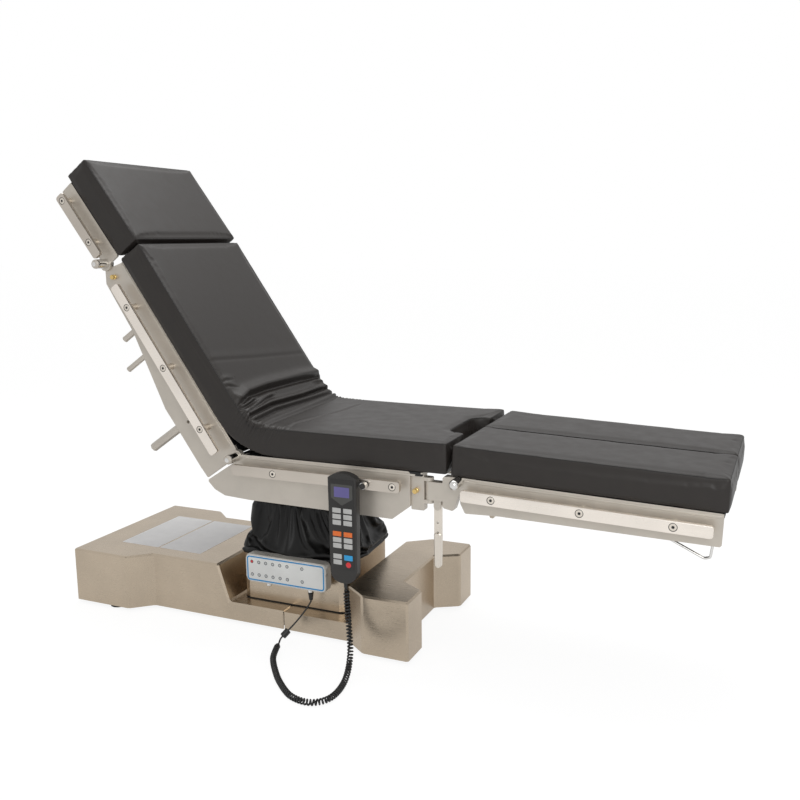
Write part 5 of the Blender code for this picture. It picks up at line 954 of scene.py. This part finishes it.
lead = [Vector(point) + SHIFT for point in LEAD_ROUTE]
curl_path = smooth_path([Vector(point) + SHIFT for point in CURL_ROUTE], 12)
helix, curly_length = wound(curl_path, CURLS, CURL_RADIUS - WIRE_RADIUS)
wire_path = smooth_path([*lead, helix[0]], 4) + helix[1:] + smooth_path([helix[-1], CORD_END], 3)[1:]
form = bmesh.new()
add_tube(form, wire_path, WIRE_RADIUS, 8)
cord = piece_from("hand_control_cord", form, CORD_COVER, 60)

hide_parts("cord_lead", "cord_curly", "cord_tail")
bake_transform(cord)

# %% [markdown]
# ## Pads
# The pads are foam blocks in a coated cover. Each starts as a solid block a little smaller than the
# CAD solid, is remeshed into even faces, and is then inflated as cloth with its underside held. The
# pressure gives the slightly crowned faces and the drawn-in edges that no bevel can give. Folds and
# seams are made last, because remeshing would swallow them.

# %% Sizes of the pads
PAD_HALF = 0.2395
PAD_LOW = 0.0084
PAD_THICK = 0.079
PAD_TOP = PAD_LOW + PAD_THICK
SEAT_END = 0.603
BACK_END = 0.630
PAD_EDGE = 0.0030
PAD_VOXEL = 0.0042
INSET = 0.0012
PRESSURE = 4.0
MOST_SWELL = 0.0024
HELD_BAND = 0.008


# %% Inflate a block as cloth
def side_block(name, outline, near, far):
    """A block whose side view is the outline, between two places across the table."""
    form = bmesh.new()
    first = [form.verts.new((point.x, near, point.z)) for point in outline]
    second = [form.verts.new((point.x, far, point.z)) for point in outline]
    form.faces.new(first)
    form.faces.new(second[::-1])
    for index in range(len(first)):
        after = (index + 1) % len(first)
        form.faces.new((first[index], second[index], second[after], first[after]))
    return piece_from(name, form, PAD_COVER)


def rounded_block(piece, edge, voxel):
    add_modifier(piece, "BEVEL", width=edge, segments=3, limit_method="ANGLE", angle_limit=math.radians(40))
    add_modifier(piece, "REMESH", mode="VOXEL", voxel_size=voxel, adaptivity=0)
    return apply_modifiers(piece)


def run_frames(frames):
    bpy.context.scene.frame_start = 1
    for step in range(1, frames + 1):
        bpy.context.scene.frame_set(step)


def inflate(piece, held, pressure, cap, frames=20):
    """Inflate a closed mesh as cloth. held() picks what stays in place, cap() limits each point's way."""
    mesh = piece.data
    before = [vertex.co.copy() for vertex in mesh.vertices]
    pins = piece.vertex_groups.new(name="held")
    pins.add([vertex.index for vertex in mesh.vertices if held(vertex.co)], 1.0, "REPLACE")
    cloth = piece.modifiers.new("cloth", "CLOTH")
    cloth.settings.quality = 4
    cloth.settings.mass = 0.3
    cloth.settings.tension_stiffness = 20
    cloth.settings.compression_stiffness = 20
    cloth.settings.shear_stiffness = 8
    cloth.settings.bending_stiffness = 0.2
    cloth.settings.use_pressure = True
    cloth.settings.uniform_pressure_force = pressure
    cloth.settings.vertex_group_mass = pins.name
    cloth.settings.effector_weights.gravity = 0
    cloth.collision_settings.use_self_collision = False
    cloth.collision_settings.use_collision = False
    cloth.point_cache.frame_start = 1
    cloth.point_cache.frame_end = frames
    run_frames(frames)
    apply_modifiers(piece)
    bpy.context.scene.frame_set(1)
    most = 0
    for vertex, start in zip(piece.data.vertices, before):
        move = vertex.co - start
        most = max(most, move.length)
        limit = cap(start)
        if move.length > limit:
            vertex.co = start + move * (limit / move.length)
    piece.vertex_groups.clear()
    print(piece.name, "vertices", len(before), "moved at most", round(most * 1000, 1), "mm")
    return piece


# %% Seams
def seam_on(name, pad, rims, radius=0.0010, closed=False):
    """A welted seam along an edge of a pad. Each rim is a place on the ideal edge and its way out."""
    surface = BVHTree.FromObject(pad, bpy.context.evaluated_depsgraph_get())
    spots = []
    for place, out in rims:
        out = Vector(out).normalized()
        hit = surface.ray_cast(place + out * 0.03, -out, 0.08)[0]
        if hit is not None:
            spots.append(hit + out * 0.0001)
    for again in range(2):
        ends = [spots[0], *spots, spots[-1]]
        spots = [(ends[index] + ends[index + 1] * 2 + ends[index + 2]) / 4 for index in range(len(spots))]
    form = bmesh.new()
    add_tube(form, spots, radius, 6, closed)
    return piece_from(name, form, SEAM_THREAD, 80)


def steps_between(start, end, length=0.008):
    count = max(2, int(abs(end - start) / length))
    return [start + (end - start) * index / count for index in range(count + 1)]


# %% [markdown]
# ## The long pad of back and seat
# Back and seat share one cushion. Where it folds at the hinge, the cover has more cloth than it needs,
# so it gathers into long folds across the pad and short puckers down its sides. The foam is inflated
# first. The folds are then raised along routes that were read from the photograph, each a ridge with
# a hollow on its lower side, and they fade out at their ends.

# %% Side view of the long pad
CREASE = PAD_TOP * math.tan(BACK_ANGLE / 2)


def long_pad_outline():
    low, high = PAD_LOW + INSET / 2, PAD_TOP - INSET
    points = [on_back(BACK_END - INSET, low), on_back(BACK_END - INSET, high),
              on_back(CREASE + 0.075, high)]
    apex = on_seat(CREASE, high)
    start, end = on_back(CREASE + 0.045, high), on_seat(CREASE + 0.045, high)
    for step in range(7):
        t = step / 6
        points.append(start * (1 - t) ** 2 + apex * 2 * t * (1 - t) + end * t ** 2)
    points += [on_seat(SEAT_END - INSET, high), on_seat(SEAT_END - INSET, low), on_seat(0.16, low)]
    start, mid, end = on_seat(0.12, low), on_seat(0.0, low + 0.004), on_back(0.12, low)
    for step in range(7):
        t = step / 6
        points.append(start * (1 - t) ** 2 + mid * 2 * t * (1 - t) + end * t ** 2)
    points.append(on_back(0.16, low))
    return points


BAY_HALF, BAY_FLOOR, BAY_CORNER = 0.104, SEAT_END - 0.050, 0.040


def bay_outline(steps=8):
    """The rounded bay at the foot end of the seat, between the thighs, from its right to its left lip."""
    outline = [(SEAT_END, -BAY_HALF)]
    for sign, first in ((-1, 270), (1, 180)):
        centre_y = sign * (BAY_HALF - BAY_CORNER)
        for step in range(steps + 1):
            turn = math.radians(first - 90 * step / steps)
            outline.append((BAY_FLOOR + BAY_CORNER + BAY_CORNER * math.cos(turn),
                            centre_y + BAY_CORNER * math.sin(turn)))
    return outline + [(SEAT_END, BAY_HALF)]


long_pad = side_block("back_and_seat_pad", long_pad_outline(), -PAD_HALF + INSET, PAD_HALF - INSET)
cutter = plate_piece("bay_cutter",
                     [(SEAT_END + 0.05, -BAY_HALF), *bay_outline(), (SEAT_END + 0.05, BAY_HALF)], -0.05,
                     0.15,
                     lambda u, v, w: on_seat(u, w, v), PAD_COVER)
add_modifier(long_pad, "BOOLEAN", operation="DIFFERENCE", object=cutter, solver="EXACT")
apply_modifiers(long_pad)
bpy.data.objects.remove(cutter)
rounded_block(long_pad, PAD_EDGE, PAD_VOXEL)
print("long pad faces", len(long_pad.data.polygons))


# %% Inflate the long pad
def local_places(point):
    """Distance and height over the seat, and up the back, of a point of the long pad."""
    away = point - PIVOT
    s_back = -away.x * math.cos(BACK_ANGLE) + away.z * math.sin(BACK_ANGLE)
    n_back = away.x * math.sin(BACK_ANGLE) + away.z * math.cos(BACK_ANGLE)
    return away.x, away.z, s_back, n_back


def along_pad(point):
    """Distance along the pad from its crease, positive on the seat, and depth under the top face."""
    s_seat, n_seat, s_back, n_back = local_places(point)
    lean = math.tan(BACK_ANGLE / 2)
    if s_seat - n_seat * lean > s_back - n_back * lean:
        return s_seat - n_seat * lean, PAD_TOP - n_seat
    return n_back * lean - s_back, PAD_TOP - n_back


def long_pad_held(point):
    s_seat, n_seat, s_back, n_back = local_places(point)
    return min(n_seat, n_back) < PAD_LOW + HELD_BAND


def long_pad_cap(point):
    return MOST_SWELL + 0.004 * max(0, 1 - abs(along_pad(point)[0]) / 0.12)


inflate(long_pad, long_pad_held, PRESSURE, long_pad_cap)
add_modifier(long_pad, "SUBSURF", levels=1, render_levels=1)
apply_modifiers(long_pad)


# %% Folds of the cover
# Each fold: its route as (distance along the pad, place across), its height and its width
FOLDS = (
    (((-0.070, -0.236), (-0.075, -0.222), (-0.092, -0.165), (-0.097, -0.07), (-0.096, 0.05),
      (-0.095, 0.130),
      (-0.090, 0.222), (-0.076, 0.240)), 0.0120, 0.0095),
    (((-0.060, -0.236), (-0.057, -0.219), (-0.063, -0.180), (-0.072, -0.139)), 0.0068, 0.0055),
    (((-0.038, -0.234), (-0.042, -0.200), (-0.052, -0.150), (-0.062, -0.100), (-0.066, -0.050)), 0.0048,
     0.0058),
    (((-0.020, -0.238), (-0.029, -0.219), (-0.040, -0.100), (-0.036, 0.067), (-0.041, 0.215),
      (-0.030, 0.238)), 0.0085, 0.0060),
    (((-0.004, -0.236), (-0.008, -0.200), (-0.018, -0.100), (-0.014, 0.086), (-0.015, 0.236)), 0.0052,
     0.0060),
    (((0.034, -0.236), (0.028, -0.180), (0.022, -0.048), (0.012, 0.160), (0.004, 0.236)), 0.0030, 0.0080),
    (((0.104, -0.225), (0.092, -0.168), (0.109, -0.070), (0.125, 0.050), (0.127, 0.170)), 0.0011, 0.0065),
    (((-0.214, -0.232), (-0.196, -0.050), (-0.180, 0.150), (-0.174, 0.236)), 0.0010, 0.0070),
    (((-0.147, -0.238), (-0.144, -0.185)), 0.0022, 0.0045),
    (((-0.134, -0.238), (-0.124, -0.205), (-0.116, -0.186)), 0.0022, 0.0045),
    (((-0.060, 0.236), (-0.064, 0.200), (-0.070, 0.170)), 0.0045, 0.0065),
    (((-0.050, 0.238), (-0.053, 0.214), (-0.052, 0.184)), 0.0035, 0.0050),
)
FOLD_FADE = 0.030
FOLD_REACH = 0.09
# Shares of a fold's width: its slope on the back's side, and its hollow's place and width. Then its depth
BACK_SLOPE, HOLLOW_PLACE, HOLLOW_WIDTH, HOLLOW_DEPTH = 1.9, 1.45, 0.85, 0.85
PUCKER_DEPTH = 0.050
PUCKER_PITCH = 0.0120
PUCKER_RISE = 0.0028
DEEPEST_HOLLOW = 0.013
HIGHEST_RIDGE = 0.014


def fold_at(route, spot):
    """Distance from a fold's route, positive on its seat side, and how far the fold has risen there."""
    nearest, signed, travelled, at = 1e9, 0, 0, 0
    for first, last in zip(route, route[1:]):
        step = last - first
        share = max(0, min(1, (spot - first).dot(step) / step.length_squared))
        away = spot - (first + step * share)
        if away.length < nearest:
            nearest = away.length
            signed = math.copysign(away.length, away.x)
            at = travelled + share * step.length
        travelled += step.length
    return signed, min(1, (0.006 + min(at, travelled - at)) / FOLD_FADE)


def fold_height(spot):
    """Height of the folds over the smooth cover at a place on the top face."""
    height = 0
    for route, rise, width in ROUTES:
        if min(abs(spot.x - route[0].x), abs(spot.x - route[-1].x)) >= FOLD_REACH:
            continue
        away, risen = fold_at(route, spot)
        if abs(away) > 5 * width:
            continue
        ridge = math.exp(-(away / (width if away > 0 else width * BACK_SLOPE)) ** 2)
        hollow = math.exp(-((away - HOLLOW_PLACE * width) / (HOLLOW_WIDTH * width)) ** 2)
        height += rise * risen * (ridge - HOLLOW_DEPTH * hollow)
    return height


ROUTES = [([Vector(point) for point in route], rise, width) for route, rise, width in FOLDS]
normals = [vertex.normal.copy() for vertex in long_pad.data.vertices]
for vertex, normal in zip(long_pad.data.vertices, normals):
    along, depth = along_pad(vertex.co)
    if abs(along) > 0.26 or depth > PUCKER_DEPTH * 1.4:
        continue
    sideways = abs(normal.y)
    move = fold_height(Vector((along, vertex.co.y))) * max(0, 1 - depth / 0.030) * (1 - sideways * 0.55)
    near_crease = max(0, 1 - abs(along - 0.015) / 0.105)
    if near_crease > 0 and abs(vertex.co.y) > PAD_HALF - 0.045:
        side = max(0, 1 - max(0, depth) / PUCKER_DEPTH) ** 1.3
        reach = max(0, 1 - (PAD_HALF - abs(vertex.co.y)) / 0.040) ** 1.5
        sign = math.copysign(1, vertex.co.y)
        uneven = noise.noise(Vector((along * 45, depth * 12, sign)))
        phase = along / PUCKER_PITCH + depth * 9 * along / 0.1 + 0.9 * uneven
        wave = math.sin(math.tau * phase)
        wave = math.copysign(abs(wave) ** 0.8, wave)
        move += PUCKER_RISE * wave * side * reach * near_crease ** 0.6
    vertex.co += normal * max(-DEEPEST_HOLLOW, min(HIGHEST_RIDGE, move))
long_pad.data.update()
long_pad.data.shade_smooth()
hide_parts("seat_pad", "back_pad")
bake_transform(long_pad)
print("folds", len(FOLDS))

# %% Seams of the long pad
ROUND_RUN = 0.055
for side, sign in BOTH_SIDES:
    rims = []
    for t in steps_between(-(BACK_END - CREASE) + 0.004, SEAT_END - CREASE - 0.004, 0.0035):
        tilt = BACK_ANGLE * max(0, min(1, (ROUND_RUN - t) / (2 * ROUND_RUN)))
        edge = on_seat(CREASE + t, PAD_TOP) if t > 0 else on_back(CREASE - t, PAD_TOP)
        edge.y = sign * (PAD_HALF - 0.001)
        rims.append((edge, (math.sin(tilt), sign, math.cos(tilt))))
    seam = seam_on("long_pad_seam_" + side, long_pad, rims)
    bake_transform(seam)
rims = [(on_back(BACK_END, PAD_TOP, y),
         on_back(1, 1) - on_back(0, 0)) for y in steps_between(-PAD_HALF + 0.003, PAD_HALF - 0.003)]
set_out(seam_on("back_end_seam", long_pad, rims), "back", "pad_cover")
rims = [(on_seat(SEAT_END, PAD_TOP, y), (1, 0, 1)) for y in steps_between(-PAD_HALF + 0.003,
                                                                          -BAY_HALF - 0.003)]
bay = bay_outline(12)
for index in range(1, len(bay) - 1):
    before, after = Vector(bay[index - 1]), Vector(bay[index + 1])
    run = (after - before).normalized()
    rims.append((on_seat(bay[index][0], PAD_TOP, bay[index][1]), (run.y, -run.x, 1)))
rims += [(on_seat(SEAT_END, PAD_TOP, y), (1, 0, 1)) for y in steps_between(BAY_HALF + 0.003,
                                                                           PAD_HALF - 0.003)]
set_out(seam_on("seat_end_seam", long_pad, rims), "seat", "pad_cover")


# %% Head and leg pads
def flat_pad(name, place, start, end, low, near, far, node, body):
    """A pad that is a plain block on its own section, with a seam round its top face."""
    near, far = sorted((near, far))
    outline = [place(start + INSET, low + INSET / 2), place(start + INSET, low + PAD_THICK - INSET),
               place(end - INSET, low + PAD_THICK - INSET), place(end - INSET, low + INSET / 2)]
    pad = side_block(name, outline, near + INSET, far - INSET)
    rounded_block(pad, PAD_EDGE, PAD_VOXEL)
    origin = place(0, 0)
    normal = (place(0, 1) - origin).normalized()
    along = (place(1, 0) - origin).normalized()
    inflate(pad, lambda point: (point - origin).dot(normal) < low + HELD_BAND, PRESSURE,
            lambda point: MOST_SWELL)
    add_modifier(pad, "SUBSURF", levels=1, render_levels=1)
    apply_modifiers(pad)
    pad.data.shade_smooth()
    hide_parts(node)
    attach(pad, body)
    top, clear = low + PAD_THICK, 0.004
    rims = [(place(s, top, near), normal - Vector((0, 1, 0))) for s in steps_between(start + clear,
                                                                                     end - clear)]
    rims += [(place(end, top, y), normal + along) for y in steps_between(near + clear, far - clear)]
    rims += [(place(s, top, far), normal + Vector((0, 1, 0))) for s in steps_between(end - clear,
                                                                                     start + clear)]
    rims += [(place(start, top, y), normal - along) for y in steps_between(far - clear, near + clear)]
    set_out(seam_on(name + "_seam", pad, rims, closed=True), body, "pad_cover")
    return pad


HEAD_LOW = 0.0084 + 0.043
LEG_LOW = 0.0106
flat_pad("head_cushion", on_head, -0.0150, 0.260, HEAD_LOW, -PAD_HALF, PAD_HALF, "head_pad", "head")
for side, sign in BOTH_SIDES:
    flat_pad("leg_cushion_" + side, on_leg, -0.022, 0.613, LEG_LOW, sign * 0.001, sign * PAD_HALF,
             "leg_pad_" + side, "leg_" + side)

# %% [markdown]
# ## Bellows
# A sleeve of thin coated cloth hides the column when it lifts. It is longer than the height that it
# covers, so it hangs slack. The sleeve starts as a straight tube of the cut size. Its hem is then
# raised to the column cover, its top rows are laid in as a roof from the head plate out to a shoulder,
# and the cloth between falls into folds round a plain block that stands for the column.

# %% Cut and hang the sleeve
SLEEVE_HEM_Z = 0.1985
SLEEVE_TOP_Z = 0.3610
SHOULDER_Z = 0.3460
ROOF_ROWS = 5
RIPPLE = 0.006
HEM_CORNER = 0.024
SLEEVE_GRID = 0.0070
SLEEVE_CUT = ROOF_ROWS * SLEEVE_GRID + 0.185
HEM_HALF = (0.1700, 0.1462)
TOP_HALF = (0.1410, 0.1190)
PLATE_HALF = (0.1060, 0.0870)


def sleeve_ring(half, corner, count, z):
    """Equal steps round a rounded rectangle about the column."""
    outline = [Vector((x, y)) for x,
               y in round_corners([(-half[0], -half[1]), (half[0], -half[1]), (half[0], half[1]),
                                                         (-half[0], half[1])], corner, 6)]
    path = [Vector((point.x, point.y, 0)) for point in [*outline, outline[0]]]
    spots, length = spaced(path, count)
    return [Vector((COLUMN_X + spot.x, spot.y, z)) for spot in spots[:-1]], length


perimeter = sleeve_ring(HEM_HALF, HEM_CORNER, 8, 0)[1]
around = int(perimeter / SLEEVE_GRID)
rows = int(SLEEVE_CUT / SLEEVE_GRID)
form = bmesh.new()
rings = []
for row in range(rows + 1):
    spots = sleeve_ring(HEM_HALF, HEM_CORNER, around, SLEEVE_TOP_Z - SLEEVE_CUT * row / rows)[0]
    for spot in spots:
        away = Vector((spot.x - COLUMN_X, spot.y, 0)).normalized()
        if 0 < row < rows:
            spot += away * RIPPLE * (0.4 + noise.noise(spot * 9))
    rings.append([form.verts.new(spot) for spot in spots])
for first, second in zip(rings, rings[1:]):
    for index in range(around):
        after = (index + 1) % around
        form.faces.new((first[index], first[after], second[after], second[index]))
sleeve = piece_from("bellows_sleeve", form, BELLOWS_CLOTH, 90)


# %% Let the sleeve fall
def roof_ring(row):
    """One ring of the sleeve's roof, from the head plate's edge out to the shoulder."""
    share = row / ROOF_ROWS
    half = [inner + (outer - inner) * share for inner, outer in zip(PLATE_HALF, TOP_HALF)]
    return sleeve_ring(half, 0.006 + 0.020 * share, around,
                       SLEEVE_TOP_Z + (SHOULDER_Z - SLEEVE_TOP_Z) * share ** 2)[0]


def hang_sleeve(frames=46, drawn=24):
    """Draw the held rings of the sleeve to their places over some frames, and let the cloth between fall."""
    sleeve.shape_key_add(name="cut")
    placed = sleeve.shape_key_add(name="placed")
    hem = sleeve_ring((HEM_HALF[0] - 0.0012, HEM_HALF[1] - 0.0012), HEM_CORNER, around, SLEEVE_HEM_Z)[0]
    last = rows * around
    for row in range(ROOF_ROWS + 1):
        for index, spot in enumerate(roof_ring(row)):
            placed.data[row * around + index].co = spot
    for index in range(around):
        placed.data[last + index].co = hem[index]
    placed.value = 0
    placed.keyframe_insert("value", frame=1)
    placed.value = 1
    placed.keyframe_insert("value", frame=drawn)
    pins = sleeve.vertex_groups.new(name="held")
    pins.add([*range((ROOF_ROWS + 1) * around), *range(last, last + around)], 1.0, "REPLACE")
    form = bmesh.new()
    cover_size = (0.3284, 0.2810, 0.140)
    bmesh.ops.create_cube(form, size=1,
                          matrix=Matrix.Translation((COLUMN_X, 0, 0.135)) @ Matrix.Diagonal((*cover_size,
                                                                                             1)))
    stage_size = (0.210, 0.172, 0.200)
    bmesh.ops.create_cube(form, size=1,
                          matrix=Matrix.Translation((COLUMN_X, 0, 0.262)) @ Matrix.Diagonal((*stage_size,
                                                                                             1)))
    block = piece_from("column_stand_in", form, CHASSIS_IRON)
    block.modifiers.new("collision", "COLLISION")
    block.collision.thickness_outer = 0.0015
    block.collision.cloth_friction = 8
    cloth = sleeve.modifiers.new("cloth", "CLOTH")
    cloth.settings.quality = 7
    cloth.settings.mass = 0.25
    cloth.settings.air_damping = 1.5
    cloth.settings.tension_stiffness = 30
    cloth.settings.compression_stiffness = 30
    cloth.settings.shear_stiffness = 12
    cloth.settings.bending_stiffness = 5.0
    cloth.settings.vertex_group_mass = pins.name
    cloth.collision_settings.use_collision = True
    cloth.collision_settings.distance_min = 0.0015
    cloth.collision_settings.collision_quality = 3
    cloth.collision_settings.use_self_collision = True
    cloth.collision_settings.self_distance_min = 0.0025
    cloth.point_cache.frame_start = 1
    cloth.point_cache.frame_end = frames
    run_frames(frames)
    graph = bpy.context.evaluated_depsgraph_get()
    fallen = bpy.data.meshes.new_from_object(sleeve.evaluated_get(graph))
    old = sleeve.data
    sleeve.modifiers.clear()
    sleeve.data = fallen
    bpy.data.meshes.remove(old)
    fallen.name = "bellows_sleeve"
    sleeve.vertex_groups.clear()
    bpy.data.objects.remove(block)
    bpy.context.scene.frame_set(1)


hang_sleeve()
add_modifier(sleeve, "SUBSURF", levels=1, render_levels=1)
apply_modifiers(sleeve)
sleeve.data.shade_smooth()
cloth_area = sum(face.area for face in sleeve.data.polygons)
print("sleeve cut", round(perimeter, 3), "x", SLEEVE_CUT, "m, area now", round(cloth_area, 4), "of",
      round(perimeter * SLEEVE_CUT, 4), "m2")

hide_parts("bellows")
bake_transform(sleeve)

# %% [markdown]
# ## Studio
# The object stands on a pale floor in a plain white studio. The world is white where it is looked at,
# weaker in reflections, and weaker again as light, so that dark pads stay dark. The floor is brighter
# in reflections than its shade would make it, because upright steel mirrors mostly the floor. A broad
# lamp above and a smaller one on the near side give the pads their pale top faces and darker sides.

# %% Floor, world and lamps
def weighted(tree, parts, start):
    """A value that starts at a number and gains a share of each socket."""
    total = start
    for socket, share in parts:
        made = tree.nodes.new("ShaderNodeMath")
        made.operation = "MULTIPLY_ADD"
        tree.links.new(socket, made.inputs[0])
        made.inputs[1].default_value = share
        if isinstance(total, (int, float)):
            made.inputs[2].default_value = total
        else:
            tree.links.new(total, made.inputs[2])
        total = made.outputs[0]
    return total


FLOOR_SIZE, FLOOR_GLOW, FLOOR_SEEN, FLOOR_MIRRORED = 30, 1.2, 0.75, 0.42


def studio_floor():
    form = bmesh.new()
    bmesh.ops.create_grid(form, x_segments=1, y_segments=1, size=FLOOR_SIZE)
    made, tree, shader = finish_of("studio_floor", (0.80, 0.80, 0.80), 0.0, 0.9)
    ray = tree.nodes.new("ShaderNodeLightPath")
    glow = tree.nodes.new("ShaderNodeEmission")
    glow.inputs["Color"].default_value = (1, 1, 1, 1)
    glow.inputs["Strength"].default_value = FLOOR_GLOW
    mix = tree.nodes.new("ShaderNodeMixShader")
    tree.links.new(weighted(tree,
                            ((ray.outputs["Is Camera Ray"], FLOOR_SEEN),
                             (ray.outputs["Is Glossy Ray"], FLOOR_MIRRORED)), 0),
                   mix.inputs[0])
    tree.links.new(shader.outputs[0], mix.inputs[1])
    tree.links.new(glow.outputs[0], mix.inputs[2])
    tree.links.new(mix.outputs[0], tree.nodes["Material Output"].inputs["Surface"])
    floor = piece_from("studio_floor", form, made)
    return floor


def studio_world(light, mirrored, seen):
    """A white world with one strength as light, one in reflections and one where it is looked at."""
    world = bpy.data.worlds.new("studio")
    bpy.context.scene.world = world
    world.use_nodes = True
    tree = world.node_tree
    sky = tree.nodes["Background"]
    sky.inputs["Color"].default_value = (1, 1, 1, 1)
    ray = tree.nodes.new("ShaderNodeLightPath")
    parts = ((ray.outputs["Is Glossy Ray"], mirrored - light), (ray.outputs["Is Camera Ray"], seen - light))
    tree.links.new(weighted(tree, parts, light), sky.inputs["Strength"])


def soft_lamp(name, place, target, size, power):
    lamp = bpy.data.lights.new(name, "AREA")
    lamp.shape = "RECTANGLE"
    lamp.size, lamp.size_y = size
    lamp.energy = power
    holder = bpy.data.objects.new(name, lamp)
    bpy.context.scene.collection.objects.link(holder)
    holder.location = place
    holder.rotation_euler = (Vector(target) - Vector(place)).to_track_quat("-Z", "Y").to_euler()


studio_floor()
WORLD_LIGHT, WORLD_MIRRORED, WORLD_SEEN = 0.45, 0.74, 1.0
studio_world(WORLD_LIGHT, WORLD_MIRRORED, WORLD_SEEN)
soft_lamp("top_lamp", (-0.2, 0.8, 3.0), (0, 0, 0.5), (2.4, 1.8), 32)
soft_lamp("near_lamp", (1.6, -2.6, 1.8), (0, 0, 0.4), (1.6, 1.6), 22)
